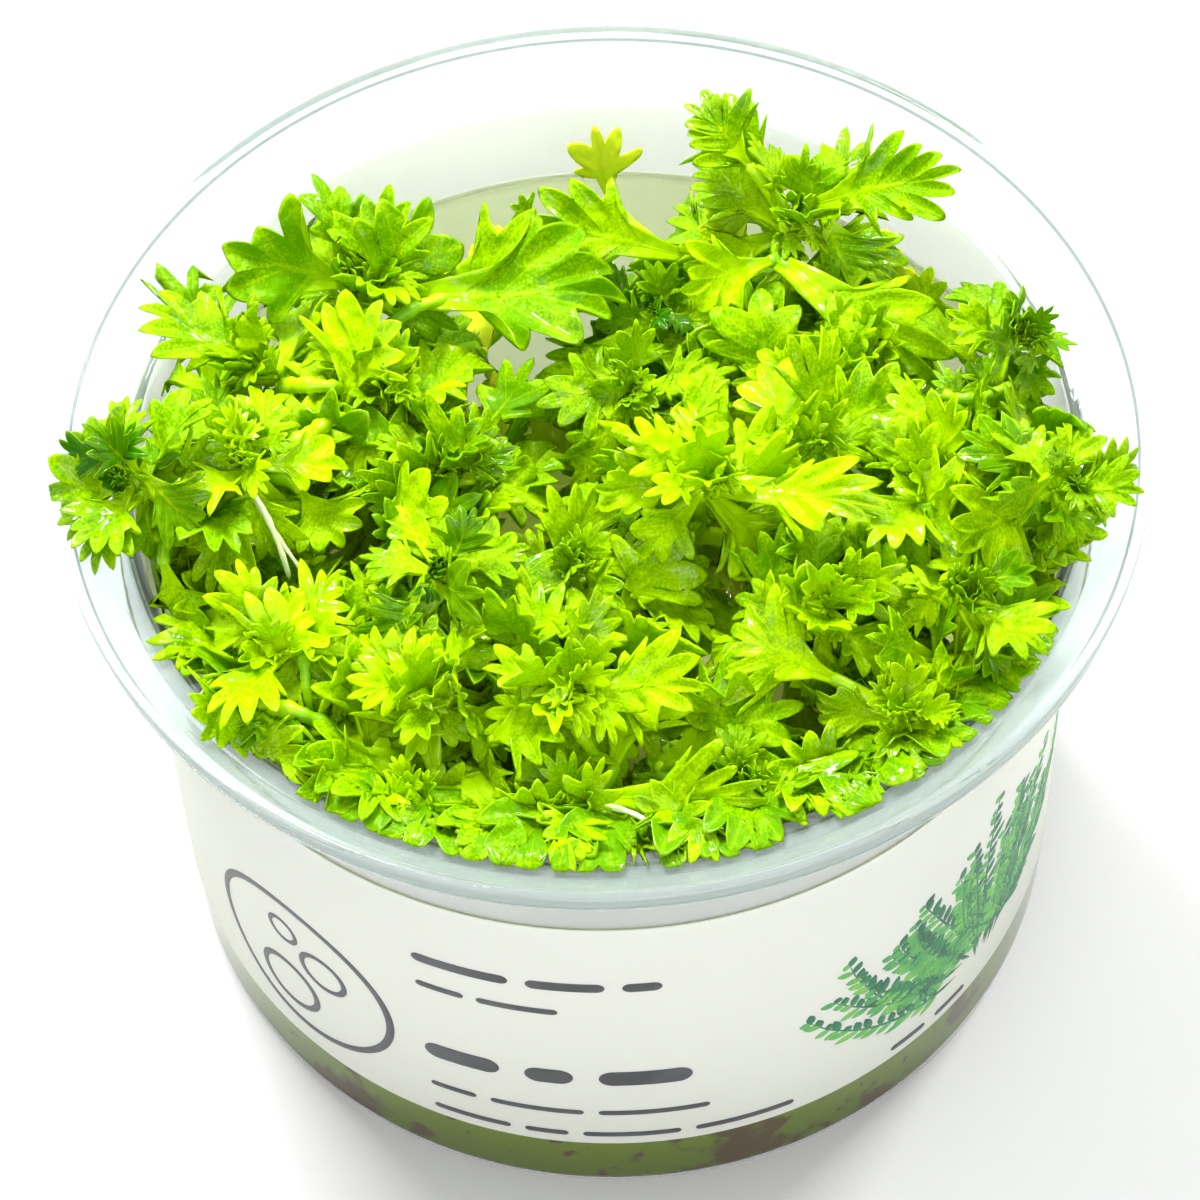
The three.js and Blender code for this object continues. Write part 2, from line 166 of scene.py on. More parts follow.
# Single leaves between the shoots: foot, tip, half width, lobes a side, tone, age
FREE_LEAVES = np.array([
    (17, 17, 66, 9, 15, 65, 4.5, 3, 0.85, 0), (17, 17, 66, 30, 5, 63, 5.5, 3, 0.45, 0),
    (16, 5, 56, 14, 16, 63, 5, 2, 0.2, 0), (13, 2, 58, 8, 5, 63, 4.5, 2, 0.65, 0),
    (17, 26, 60, 12, 27, 66, 5.5, 2, 0.7, 0.2), (18, 2, 60, 17, 8, 64, 4, 3, 0.8, 0),
    (-21, 17, 60, -19, 25, 68, 5.5, 3, 0.3, 0), (-16, 20, 60, -3, 21, 63, 6, 3, 0.35, 0),
    (-33, -5, 64, -36, -14, 58, 5.5, 3, 0.6, 0), (-6, -15, 58, -1, -7, 63, 5, 3, 0.5, 0),
    (3, -32, 56, 15, -29, 60, 6.5, 3, 0.3, 0), (-22, -30, 56, -23, -21, 61, 5, 2, 0.6, 0),
    (36, -5, 60, 28, 0, 62, 5, 3, 0.55, 0), (26, -21, 58, 20, -12, 62, 5, 2, 0.85, 0),
    (-5, -39, 55, -10, -37, 61, 4, 3, 0.7, 0), (9, -40, 55, 2, -38, 60, 4.5, 3, 0.6, 0),
    (20, -36, 55, 15, -33, 60, 4.5, 3, 0.5, 0), (0, -16, 56, 7, -12, 62, 5, 2, 0.6, 0),
    (-11, -2, 60, -21, -4, 64, 5, 3, 0.45, 0), (4, 16, 58, -4, 8, 58, 5, 3, 0.3, 0),
    (-40, -11, 62, -38, -17, 58, 4, 2, 0.4, 0), (16, -31, 55, 7, -27, 60, 5, 3, 0.4, 0),
    (21.3, 22.3, 67, 24, 16.3, 62, 6, 4, 0.1, 0), (15.2, 24.5, 70.5, 11.3, 29.3, 73.4, 4, 4, 0.2, 0),
    (20.5, 21.5, 66.5, 21.3, 24.5, 71, 3.5, 2, 0.1, 0), (-23.2, 17.5, 60, -15.5, 24, 67, 7, 2, 0.2, 0),
    (-23.5, 21, 62, -25.2, 26.2, 69.5, 4, 2, 0, 0), (-5.7, 28.7, 60, -7.4, 27.7, 63, 2, 2, 0.5, 0),
    (-9, -36, 57, -12.2, -42, 61, 4.5, 3, 0.55, 0), (-3, -37, 57, -5.4, -43.2, 61, 4, 3, 0.7, 0),
    (3, -38, 57, 6.5, -43.3, 61, 4.5, 3, 0.5, 0), (12, -37, 57, 15.2, -41.6, 61, 4.5, 3, 0.6, 0),
    (-22, -32, 57, -26.5, -35, 61, 4.5, 3, 0.6, 0), (22, -30, 58, 28.5, -33.4, 61.5, 4.5, 3, 0.45, 0),
    (-27.7, -3.9, 62.5, -24.3, -8.7, 60.5, 4.5, 3, 0.55, 0),
    (-20.6, -6.3, 61, -15.2, -8.2, 64, 5, 2, 0.6, 0), (-24.9, -26, 57, -22.5, -21.9, 62, 5.5, 2, 0.45, 0),
    (-32.7, -27.1, 60.5, -26.5, -34.6, 61, 4, 4, 0.65, 0),
    (-21.3, -14.7, 61, -18.1, -19.9, 58, 5, 2, 0.15, 0),
    (-33.2, -26.3, 62, -35.7, -31, 63.5, 4.5, 3, 0.5, 0),
    (-0.5, -32.9, 57, 3.2, -26, 62.5, 5.5, 3, 0.95, 0), (19.7, -27.7, 62, 11.4, -22.6, 63, 6.5, 4, 0.65, 0),
    (17.8, -1.9, 62, 28.2, 1.1, 66, 5.5, 3, 0.35, 0), (17.8, -1.9, 62, 21.6, 5.4, 67.5, 6, 4, 0.55, 0),
    (38.4, -10.2, 65, 31.9, -15.9, 65, 5.5, 3, 0.6, 0), (38.5, -10.8, 63, 41.2, -15.6, 62, 4.5, 3, 0.3, 0),
    (32, -0.8, 65, 26.3, -2.3, 66, 4.5, 3, 0.55, 0), (-31, -23.6, 60, -27.3, -18.3, 65, 5.5, 3, 1, 0),
    (-15.9, -33.4, 58, -17.3, -23.3, 64.5, 5.5, 4, 0.85, 0), (-1.5, -36.2, 58.5, 11, -39, 61, 5, 4, 0.6, 0),
    (-11, -29.6, 58, -4.4, -31.5, 63.5, 5, 3, 0.5, 0), (-23.6, 5.8, 61, -20, 11.4, 68, 6, 3, 0.8, 0),
    (-15.7, -2.8, 61, -11.2, -0.6, 66, 5, 3, 0.35, 0), (15.7, 4.6, 60, 15.4, 11.9, 66.5, 6.5, 2, 0.3, 0),
    (31.7, -15.7, 62, 27.8, -7.9, 66.5, 5.5, 3, 0.9, 0),
    (-41.5, -6, 67, -49.2, -7.6, 68.3, 4.5, 2, 0.35, 0), (-41.5, -6, 67, -47.2, -2.3, 69, 4, 2, 0.3, 0),
    (-41, -7, 66.5, -46.5, -13, 68, 4.5, 3, 0.35, 0),
])

# Old leaves, yellow with age, in the same columns
OLD_LEAVES = np.array([
    (2, 35, 55, 1, 36, 63, 3.5, 2, 0.9, 0.9), (26.3, 19.8, 56, 27.6, 21.6, 63, 6, 3, 0.7, 0.9),
    (31.1, 14.9, 56, 31.6, 17.6, 62, 6, 3, 0.5, 0.2), (14.2, 25.2, 58, 12.6, 28.5, 63, 5, 2, 0.6, 0.55),
    (-9, 24, 50, -9, 30, 56, 5, 2, 0.5, 1), (-4, 13, 54, -12, 12, 50, 6, 2, 0.5, 0.9),
    (-5, 23, 55, -14, 23, 51, 5, 2, 0.5, 0.85), (-13, 15, 47, -14, 22, 50, 5, 2, 0.6, 0.8),
    (-2, 7, 46, -6, 12, 50, 5.5, 2, 0.6, 0.85), (5, -15, 44, 6, -9, 50, 5, 2, 0.3, 0.9),
    (9, -17, 45, 14, -13, 50, 5, 2, 0.2, 0.8), (13, -2, 48, 20, 3, 50, 5.5, 2, 0.7, 0.9),
    (24, -2, 46, 30, 4, 52, 5, 2, 0.7, 0.7), (-30, 14, 46, -24, 20, 52, 5, 2, 0.6, 0.7),
])

# Roots and filaments: each a curve through four controls, and its radius
ROOTS = np.array([
    (-32.2, -5.9, 65.5, -30.7, -7.8, 66, -29.3, -10.9, 64, -28.7, -12.5, 60, 0.3),
    (-31.6, -6.5, 65, -30.2, -9.5, 64.5, -28.6, -11, 62, -26.4, -13.5, 59.5, 0.22),
    (17.5, -4.9, 62, 20, -8, 62.6, 22.4, -8.6, 62.3, 25.5, -7.2, 61, 0.22),
    (18, -3, 62, 20.5, -3.8, 63, 22, -4.5, 62.5, 24, -5, 61, 0.22),
    (-1.5, -37.5, 59, 1.5, -39, 61, 3.7, -41, 60, 5, -42, 57, 0.25),
])

# Bare stretches of stem that show between the leaves, in the same columns
BARE_STEMS = np.array([
    (-29.2, 8.7, 61, -27.7, 6.7, 64, -25.2, 6.2, 64.5, -23.5, 7.3, 62, 0.8),
    (-30.2, -0.6, 62, -28.7, -1.8, 65, -25.8, 0.7, 65, -24.7, 4.1, 62, 0.95),
    (-40.6, -4.2, 64, -38.7, -5.5, 66.5, -34.8, -5.9, 67, -32.8, -4, 65, 0.85),
    (-20.3, 13.9, 61, -19, 14.8, 63.5, -15.9, 16, 64, -12.7, 18.3, 61.5, 0.7),
    (31.4, -3.6, 61, 32.6, -5.7, 64, 35.7, -6.5, 64.5, 38, -6.1, 62, 0.65),
    (30.9, 2.2, 64, 32.1, -0.6, 66, 34.8, -0.8, 66, 37.6, 2.1, 65, 0.5),
    (-27.3, -22.4, 62.5, -27.1, -24.6, 62.5, -27, -25.9, 60.5, -27.1, -25.9, 56, 0.5),
    (-32.2, -25.7, 60, -30.2, -27.3, 62, -26.7, -27.8, 61.5, -24.6, -28, 58, 0.85),
    (15.5, 4.2, 62, 15.5, 1, 62.5, 15.7, -1.3, 61, 15.8, -2.3, 58, 0.7),
    (-4.2, -29.5, 61.5, -3.4, -30.9, 61.5, -2.4, -31.4, 59.5, -1.5, -31.8, 56, 0.7),
])

# Bars of the label's print: first and last arc from the front, height on the wall, thickness
PRINT_BARS = np.array([
    (-20.2, -11, 38.8, 1.5), (-9.4, -2.2, 38.8, 1.5), (-0.6, 3, 38.8, 1.5), (-20.1, -15.4, 34, 1),
    (-14.2, -6.6, 34, 1), (-20, -12.6, 21.6, 2.7), (-10.2, -5.6, 21.6, 2.7), (-3.2, 5.6, 21.6, 2.7),
    (-19.8, -15.2, 14.8, 0.9), (-13.8, -4.8, 14.8, 0.9), (-3.4, 7.2, 14.8, 0.9), (-19.7, -12, 10.4, 0.9),
    (-10.6, -6.4, 10.4, 0.9), (-5, 4.4, 10.4, 0.9), (5.8, 15.6, 10.4, 0.9), (26.6, 31, 10.2, 0.9),
    (32.4, 36.8, 10.2, 0.9),
])

# Rings of the round mark: centre arc, centre height, radius, line width
PRINT_RINGS = np.array([
    (-34.6, 22.8, 11, 0.9), (-36.2, 18.4, 3.6, 0.8), (-31.2, 25.2, 2.6, 0.7), (-36, 28.4, 1.7, 0.6),
])

SPRIGS = 26
SPRIG_LEAF_PAIRS = 13
PRINT_THICKNESS = 0.02

# Brown stains in the gel: centre and radius
GEL_STAINS = [
    (-26.9, -34.2, 2.7, 4.5), (23.9, -36.4, 2, 2), (10.2, -42.3, 3.4, 5.5), (32.2, -29.3, 4.6, 3.5),
    (-20.7, -38.3, 2, 1.5),
]

# Share of light that passes the plastic at each height: clear low in the wall, milkier above the
# label and in the thick shoulder. The milky band above the label is painted reflection, so
# that the thin wall there reads white.
CLARITY_STOPS = [
    (LABEL_TOP - 1, 1.0), (LABEL_TOP + 0.5, 0.6), (WALL_TOP - 1, 0.62), (WALL_TOP + 0.1, 0.86),
    (WALL_TOP + 1.4, 0.88), (WALL_TOP + 2.2, 0.86),
]

# Rows of points from foot to tip, and steps from rib to edge, of each kind of leaf
WHORL_GRID = (26, 3)
BIG_GRID = (59, 6)
TUFT_GRID = (21, 3)
LOWER_GRID = (18, 2)
SINGLE_GRID = (33, 4)
WALL_GRID = (26, 3)

# Rings along and sides round each kind of tube
STEM_TUBE = (46, 14)
BRANCH_SIDES = 10
STALK_TUBE = (16, 8)
ROOT_TUBE = (25, 12)
TUBE_ASIDE = (0.31, 0.95, 0.05)

# A leaf's outline: rows on its stalk, the blade's start and end and the spread of its rays along
# and across it, its lobes' depth and point, and where its margin begins
STALK_STEPS = 4
BLADE_START = 0.27
BLADE_STOP = 0.69
LOBE_SPREAD = 0.94
BLADE_BREADTH = 1.45
LOBE_DEPTH = 0.37
SINUS_POWER = 2.0
LOBE_POINT = 0.13
FINGER_LOBES = 3.5
MARGIN = 0.93

# The floor's half width and height
FLOOR_REACH = 3000
FLOOR_HEIGHT = -0.02

# Each lamp's place, width and power, what they aim at, the sky, and the camera, in metres and watts
LAMPS = [
    ("key_softbox", (-0.22, 0.36, 0.7), 0.28, 10.5),
    ("back_softbox", (0.32, 0.3, 0.5), 0.14, 3.0),
    ("front_softbox", (0.1, -0.6, 0.5), 0.5, 2.3),
]
LAMP_TARGET = Vector((0, 0, 0.05))
SKY_STRENGTH = 0.72
CAMERA_TARGET = (-0.0009, 0.00808, 0.025)
CAMERA_ROLL = -0.049
CAMERA_LENS = 118.54
CAMERA_SENSOR = 36
CAMERA_CLIP = (0.01, 20)


def hex_colour(text):
    """Linear RGBA of an sRGB hex colour: each channel goes through the sRGB decoding curve."""
    channels = [int(text[i:i + 2], 16) / 255 for i in (1, 3, 5)]
    linear = [c / 12.92 if c <= 0.04045 else ((c + 0.055) / 1.055) ** 2.4 for c in channels]
    return (*linear, 1.0)


# Properties

def colour_property(name, description, text):
    return bpy.props.FloatVectorProperty(
        name=name, description=description, subtype="COLOR", size=4, min=0, max=1,
        default=hex_colour(text))


class CupSettings(bpy.types.PropertyGroup):
    """Sizes and colour of the clear cup."""
    segments: bpy.props.IntProperty(
        name="Segments", description="Facets round the cup", default=240, min=48)
    roughness: bpy.props.FloatProperty(
        name="Roughness", description="Haze of the moulded plastic", default=0.06, min=0, max=1,
        subtype="FACTOR")
    tint: colour_property("Tint", "Colour of the clear wall", "#FAFCFB")
    flange: colour_property("Flange", "Colour of the milky flange", "#D4E0DE")


class LabelSettings(bpy.types.PropertyGroup):
    """Colours of the label and its generic printing."""
    film: colour_property("Film", "Colour of the label film", "#FCFBFF")
    # back is painted light: the yellow-green that the leaves' light throws on the label's inner face, seen
    # through the wall
    back: colour_property("Back", "Colour of the glued side, seen through the wall", "#FCFFD2")
    ink: colour_property("Ink", "Colour of the dark printing", "#3A3C3E")
    light_green: colour_property("Light green", "Lighter green of the printed fronds", "#3C9A4E")
    dark_green: colour_property("Dark green", "Darker green of the printed fronds", "#0E5A3C")


class GelSettings(bpy.types.PropertyGroup):
    """Facets and colours of the growing gel."""
    segments: bpy.props.IntProperty(
        name="Segments", description="Facets round the gel", default=160, min=48)
    # surface is painted light: the paler colour of the gel's lit top
    surface: colour_property("Surface", "Gel colour on its lit surface", "#C6D65A")
    upper: colour_property("Upper", "Gel colour high in its side", "#8AA200")
    lower: colour_property("Lower", "Gel colour near the cup's floor", "#5E7600")
    stain: colour_property("Stain", "Brown blotches in the gel", "#5C3C26")


class LeafSettings(bpy.types.PropertyGroup):
    """Thickness and colours of the leaves."""
    thickness: bpy.props.FloatProperty(
        name="Thickness", description="Thickness of a leaf blade, in millimetres", default=0.3,
        min=0.1, max=1)
    dark: colour_property("Dark", "Colour of a dark leaf", "#68A600")
    bright: colour_property("Bright", "Colour of a bright young leaf", "#C0EA00")
    # heart is painted shade: the dark between the closed leaves of a whorl's heart
    heart: colour_property("Heart", "Colour of a dense dark heart", "#307A00")
    old: colour_property("Old", "Colour of an old yellow leaf", "#EEF432")
    vein: colour_property("Vein", "Colour of the veins", "#C8F000")
    stalk: colour_property("Stalk", "Colour of a leaf's winged stalk", "#B8E400")
    glow: colour_property("Glow", "Colour of light that comes through a leaf", "#BCF200")


class StemSettings(bpy.types.PropertyGroup):
    """Size and colour of the stems and roots."""
    radius: bpy.props.FloatProperty(
        name="Radius", description="Radius of a stem at its foot, in millimetres", default=1.15,
        min=0.4, max=2)
    skin: colour_property("Skin", "Colour of a stem", "#C8EE00")
    root: colour_property("Root", "Colour of the white roots", "#F2F6D8")


class StageSettings(bpy.types.PropertyGroup):
    """Floor and camera."""
    floor: colour_property("Floor", "Colour of the plain floor", "#CFCFCF")
    elevation: bpy.props.FloatProperty(
        name="Elevation", description="Height of the camera above the horizon",
        default=math.radians(55.08), subtype="ANGLE", unit="ROTATION")
    distance: bpy.props.FloatProperty(
        name="Distance", description="Distance of the camera from its target",
        default=0.3965, unit="LENGTH")


# Nodes and meshes

def add_node(tree, kind, inputs=None, **settings):
    """A shader node of that kind, with its settings; a Mix node blends colours.

    An input is a value, the socket that it is linked to, or a node, whose first live output it
    is then linked to.
    """
    made = tree.nodes.new("ShaderNode" + kind)
    if kind == "Mix":
        made.data_type = "RGBA"
    for key, value in settings.items():
        setattr(made, key, value)
    for key, value in (inputs or {}).items():
        if isinstance(value, bpy.types.Node):
            value = next(output for output in value.outputs if output.enabled)
        if isinstance(value, bpy.types.NodeSocket):
            tree.links.new(value, made.inputs[key])
        else:
            made.inputs[key].default_value = value
    return made


def new_material(name):
    """An empty material, and add_node for its tree."""
    material = bpy.data.materials.new(name)
    material.use_nodes = True
    material.node_tree.nodes.clear()
    return material, partial(add_node, material.node_tree)


def unit(vectors):
    """Vectors scaled to length one."""
    vectors = np.asarray(vectors, float)
    return vectors / np.linalg.norm(vectors, axis=-1, keepdims=True)


def turn_about(vectors, axes, angles):
    """Vectors turned about unit axes by angles, by Rodrigues' formula."""
    angles = np.asarray(angles, float)[..., None]
    along = np.sum(vectors * axes, axis=-1, keepdims=True) * axes
    return (vectors * np.cos(angles) + np.cross(axes, vectors) * np.sin(angles)
            + along * (1 - np.cos(angles)))


def grid_faces(rows, columns, wrap=False):
    """Quads between neighbouring points of a grid; wrap joins the last column to the first."""
    i, j = np.meshgrid(np.arange(rows - 1), np.arange(columns if wrap else columns - 1),
                       indexing="ij")
    right = (j + 1) % columns
    quads = np.stack([i * columns + j, i * columns + right,
                      (i + 1) * columns + right, (i + 1) * columns + j], axis=-1)
    return quads.reshape(-1, 4)


def sealed(points, faces):
    """Points that lie at one place merged into one, and the faces renumbered to match.

    It closes the seam of a turned or swept surface, and its poles.
    """
    points = np.asarray(points, float).reshape(-1, 3)
    _, first, place = np.unique(np.round(points, 4) + 0.0, axis=0, return_index=True,
                                return_inverse=True)
    place = place.ravel()
    return points[first], [place[part] for part in faces]


def put_mesh(name, points, faces, material, uv=None, tone=None):
    """A smooth mesh object from millimetre points and face arrays, with optional UV and tone.

    A mesh with no UV is sealed. A corner that repeats the one before it is dropped, so a quad at
    a pole becomes a triangle, and points that no face uses are left out.
    """
    faces = faces if isinstance(faces, list) else [faces]
    if uv is None:
        points, faces = sealed(points, faces)
    kept = [part != np.roll(part, 1, axis=1) for part in faces]
    whole = [keep.sum(axis=1) >= 3 for keep in kept]
    corners = np.concatenate([part[good][keep[good]] for part, keep, good in zip(faces, kept, whole)])
    sizes = np.concatenate([keep[good].sum(axis=1) for keep, good in zip(kept, whole)])
    used, corners = np.unique(corners, return_inverse=True)
    points = np.asarray(points, float).reshape(-1, 3)[used] * MM
    mesh = bpy.data.meshes.new(name)
    mesh.vertices.add(len(points))
    mesh.vertices.foreach_set("co", points.astype(np.float32).ravel())
    mesh.loops.add(len(corners))
    mesh.loops.foreach_set("vertex_index", corners.astype(np.int32).ravel())
    mesh.polygons.add(len(sizes))
    mesh.polygons.foreach_set("loop_start", (np.cumsum(sizes) - sizes).astype(np.int32))
    mesh.polygons.foreach_set("use_smooth", np.ones(len(sizes), bool))
    if uv is not None:
        layer = mesh.uv_layers.new(name="UVMap")
        flat = np.asarray(uv, np.float32).reshape(-1, 2)[used]
        layer.data.foreach_set("uv", flat[corners.ravel()].ravel())
    if tone is not None:
        layer = mesh.color_attributes.new(name="tone", type="FLOAT_COLOR", domain="POINT")
        layer.data.foreach_set("color", np.asarray(tone, np.float32).reshape(-1, 4)[used].ravel())
    mesh.update(calc_edges=True)
    mesh.validate()
    mesh.materials.append(material)
    piece = bpy.data.objects.new(name, mesh)
    bpy.context.scene.collection.objects.link(piece)
    return piece


def declare(piece, node=None):
    """Tells the frame the CAD node that a piece replaces, if any and body."""
    if node:
        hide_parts(node)
    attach(piece, "root")


def rounded_profile(corners, steps=7):
    """A closed outline whose corners (radius, height, fillet) are replaced by arcs.

    Each arc runs between the two points at a fillet's tangent length from the corner, as a
    quadratic blend through it.
    """
    corners = np.array(corners, float)
    here = corners[:, :2]
    before = unit(np.roll(here, 1, axis=0) - here)
    after = unit(np.roll(here, -1, axis=0) - here)
    t = np.linspace(0, 1, steps)[None, :, None]
    start = (here + before * corners[:, 2:])[:, None]
    end = (here + after * corners[:, 2:])[:, None]
    middle = here[:, None]
    return (start * (1 - t) ** 2 + middle * 2 * t * (1 - t) + end * t ** 2).reshape(-1, 2)


def turned_points(profile, segments, start=0.0, stop=2 * math.pi):
    """A profile of (radius, height) turned about Z: points on arcs at even angles."""
    angle = np.linspace(start, stop, segments)
    radius = profile[:, 0][:, None]
    height = np.broadcast_to(profile[:, 1][:, None], (len(profile), segments))
    return np.stack([radius * np.cos(angle), radius * np.sin(angle), height], axis=-1)


def bezier(controls, t):
    """Cubic Bezier points and tangents for controls (..., 4, 3) at parameters t."""
    a, b, c, d = (controls[..., k, None, :] for k in range(4))
    t = t[:, None]
    points = a * (1 - t) ** 3 + 3 * b * t * (1 - t) ** 2 + 3 * c * t ** 2 * (1 - t) + d * t ** 3
    tangents = (b - a) * (1 - t) ** 2 + 2 * (c - b) * t * (1 - t) + (d - c) * t ** 2
    return points, unit(tangents)


def swept_tubes(controls, t, radii, sides):
    """Rings round Bezier curves, square to them, shrunk to a point at both ends.

    Each ring starts square to the curve and to TUBE_ASIDE, a direction that no curve follows.
    """
    points, tangents = bezier(controls, t)
    across = unit(np.cross(tangents, TUBE_ASIDE))
    over = np.cross(tangents, across)
    angle = np.linspace(0, 2 * math.pi, sides, endpoint=False)
    ring = (across[..., None, :] * np.cos(angle)[:, None]
            + over[..., None, :] * np.sin(angle)[:, None])
    radii[..., [0, -1]] = 0
    return points[..., None, :] + ring * radii[..., None, None]


def swept_piece(name, rings, material, node=None, order=1):
    """One piece of swept surfaces of equal rows and sides; order -1 turns their faces round."""
    count, rows, sides = rings.shape[:3]
    offsets = np.arange(count)[:, None, None] * rows * sides
    faces = (grid_faces(rows, sides, True)[None] + offsets).reshape(-1, 4)[:, ::order]
    declare(put_mesh(name, rings, faces, material), node)


# The growth of the plant

def jitter(shoot, leaf, channel):
    """An even spread from -1 to 1: the fraction of a large sine, centred."""
    wave = np.sin(shoot * 12.9898 + leaf * 78.233 + channel * 37.719) * 43758.5453
    return 2 * (wave - np.floor(wave)) - 1


def shoot_axis(number):
    """Unit axis of a shoot's whorl."""
    return unit([*LEANS[number], 1.0])


def stem_controls(number):
    """Bezier controls of a stem: straight up from its root, then leaning into its whorl."""
    crown, axis = CROWNS[number], shoot_axis(number)
    turn = np.array([[math.cos(ROOT_TURN), -math.sin(ROOT_TURN)],
                     [math.sin(ROOT_TURN), math.cos(ROOT_TURN)]])
    root = np.array([*(turn @ (crown[:2] * ROOT_SHARE)), GEL_TOP - SOCKET_DEPTH])
    rise = root + [0, 0, 0.45 * (crown[2] - root[2])]
    return np.array([root, rise, crown - 14 * axis, crown - 0.6 * axis])


def leaf_set(**values):
    """Leaves as a dict of arrays, each with one row per leaf; one number holds for every leaf.

    cut scales how deep the lobes go, and reach is the radius round the cup's axis that the
    leaves stay within.
    """
    count = len(values["direction"])
    values = {"age": 0, "heart": 0, "cut": 1, "reach": RIM_RADIUS, **values}
    return {key: np.asarray(value, float) if np.ndim(value) else np.full(count, float(value))
            for key, value in values.items()}


def joined_leaves(sets):
    """Several leaf sets as one."""
    return {key: np.concatenate([s[key] for s in sets]) for key in sets[0]}


def fan(axis, turn):
    """Directions square to an axis, turned about it by angles."""
    return turn_about(unit(np.cross([1.0, 0, 0], axis)), axis, turn)


def tilted(outward, axis, tilt):
    """Directions tilted from outward towards the axis by angles, and the normals above them."""
    tilt = tilt[:, None]
    return (outward * np.cos(tilt) + axis * np.sin(tilt),
            axis * np.cos(tilt) - outward * np.sin(tilt))


def whorl_leaves(number):
    """Leaves that climb a whorl's axis by the golden angle, the lowest longest and flattest.

    The first ones stand as in the solid, and the rest vary more.
    """
    axis, longest = shoot_axis(number), LONGEST[number]
    index = np.arange(WHORL_LEAVES)
    level = index / (WHORL_LEAVES - 1)
    vary = partial(jitter, number, index)
    loose = index >= SOLID_LEAVES
    outward = fan(axis, index * GOLDEN_ANGLE + number * 1.7 + 1.3 * loose * vary(9))
    aside = np.cross(axis, outward) * (1.8 * loose * vary(25))[:, None]
    size = (1 - 0.5 * level) * (1 + np.where(loose, 0.45, 0.12) * vary(2))
    direction, normal = tilted(outward, axis,
                               -0.15 + 1.15 * level + np.where(loose, 0.6, 0.15) * vary(1))
    return leaf_set(
        base=CROWNS[number] + axis * (2.6 * level - 1.2)[:, None] + aside, direction=direction,
        normal=turn_about(normal, direction, np.where(loose, 0.9, 0.3) * vary(3)),
        length=longest * size, width=WIDTH_SHARE * longest * size,
        bend=0.55 + np.where(loose, 0.75, 0.35) * vary(4), fold=0.28 + 0.18 * vary(10),
        lobes=np.where(vary(8) > -0.4, 3, 2) + (number == FINGERED_SHOOT),
        tone=TONES[number] + 0.32 * vary(5) + 0.1 * level,
        # Painted shade that deepens towards the whorl's closed heart
        heart=HEARTS[number] * np.clip(level * 1.6 - 0.5, 0, 1), chance=vary(6))


def heart_leaves(number):
    """Tiny leaves that close over a whorl's growing tip: where its heart is dark they carry painted
    shade, and where it isn't they are looser.
    """
    axis, longest = shoot_axis(number), LONGEST[number]
    index = np.arange(HEART_LEAVES)
    level = index / (HEART_LEAVES - 1)
    vary = partial(jitter, number, index)
    loose = 1 - HEARTS[number]
    direction, normal = tilted(fan(axis, index * GOLDEN_ANGLE + number), axis,
                               0.65 + 0.6 * level + (0.25 + 0.4 * loose) * vary(17))
    spread = 1 + 0.7 * loose * (1 + vary(19))
    return leaf_set(
        base=CROWNS[number] + axis * (0.9 + 0.8 * level)[:, None],
        direction=direction, normal=normal,
        length=longest * (0.4 - 0.14 * level) * spread,
        width=longest * (0.17 - 0.06 * level) * spread,
        bend=-0.9 + loose * (0.6 + vary(20)), fold=0.5, lobes=2,
        tone=TONES[number] + 0.1 + 0.25 * vary(18), heart=HEARTS[number], chance=vary(7))


def stem_leaves(number):
    """Leaves lower on a stem, larger, drooping and yellower with depth."""
    longest = LONGEST[number]
    index = np.arange(STEM_LEAVES)
    last = STEM_LEAVES - 1
    vary = partial(jitter, number, index)
    points, tangents = bezier(stem_controls(number), 0.42 + 0.53 * index / last)
    direction, normal = tilted(fan(tangents, index * GOLDEN_ANGLE + number * 2.3), tangents,
                               0.35 + 0.25 * vary(11))
    size = 1.15 + 0.2 * vary(12)
    return leaf_set(
        base=points, direction=direction, normal=normal,
        length=longest * size, width=WIDTH_SHARE * longest * size,
        bend=0.8 + 0.3 * vary(13), fold=0.2, lobes=3, tone=TONES[number] * 0.6 + 0.2 * vary(14),
        age=np.clip((1 - index / last) * 1.2 - 0.35, 0, 1), chance=vary(15))


def side_controls(number, branch):
    """Bezier controls of a side shoot, and its axis: it leaves its stem and rises beside the
    whorl."""
    start, along = bezier(stem_controls(number), np.array([SIDE_START + 0.1 * branch]))
    start, along = start[0], along[0]
    heading = GOLDEN_ANGLE * (2 * number + branch) + 0.8
    out = np.array([math.cos(heading), math.sin(heading), 0.0])
    tip = CROWNS[number] + out * (7.5 + 2.0 * jitter(number, branch, 31))
    tip[2] -= 5.0 + 2.5 * jitter(number, branch, 32)
    tip[:2] *= min(1.0, SIDE_LIMIT / np.hypot(tip[0], tip[1]))
    lean = unit(out * 0.6 + np.array([0, 0, 1.0]))
    return np.array([start, start + along * 3 + out * 1.5, tip - lean * 5, tip]), lean


def side_shoot_leaves(number, branch):
    """A small loose tuft at the end of a side shoot."""
    controls, axis = side_controls(number, branch)
    longest = LONGEST[number]
    index = np.arange(SIDE_LEAVES)
    level = index / (SIDE_LEAVES - 1)
    key = number + 40 + 30 * branch
    vary = partial(jitter, key, index)
    direction, normal = tilted(fan(axis, index * GOLDEN_ANGLE + key), axis, 0.45 + 0.85 * vary(1))
    size = (1.0 - 0.25 * level) * (1 + 0.35 * vary(2))
    return leaf_set(
        base=controls[3] + axis * (2.0 * level - 1.6)[:, None],
        direction=direction, normal=turn_about(normal, direction, vary(3)),
        length=longest * size, width=WIDTH_SHARE * longest * size, bend=0.5 + 0.7 * vary(4),
        fold=0.25, lobes=np.where(vary(8) > -0.3, 3, 2), tone=TONES[number] * 0.8 + 0.4 * vary(5),
        chance=vary(6))


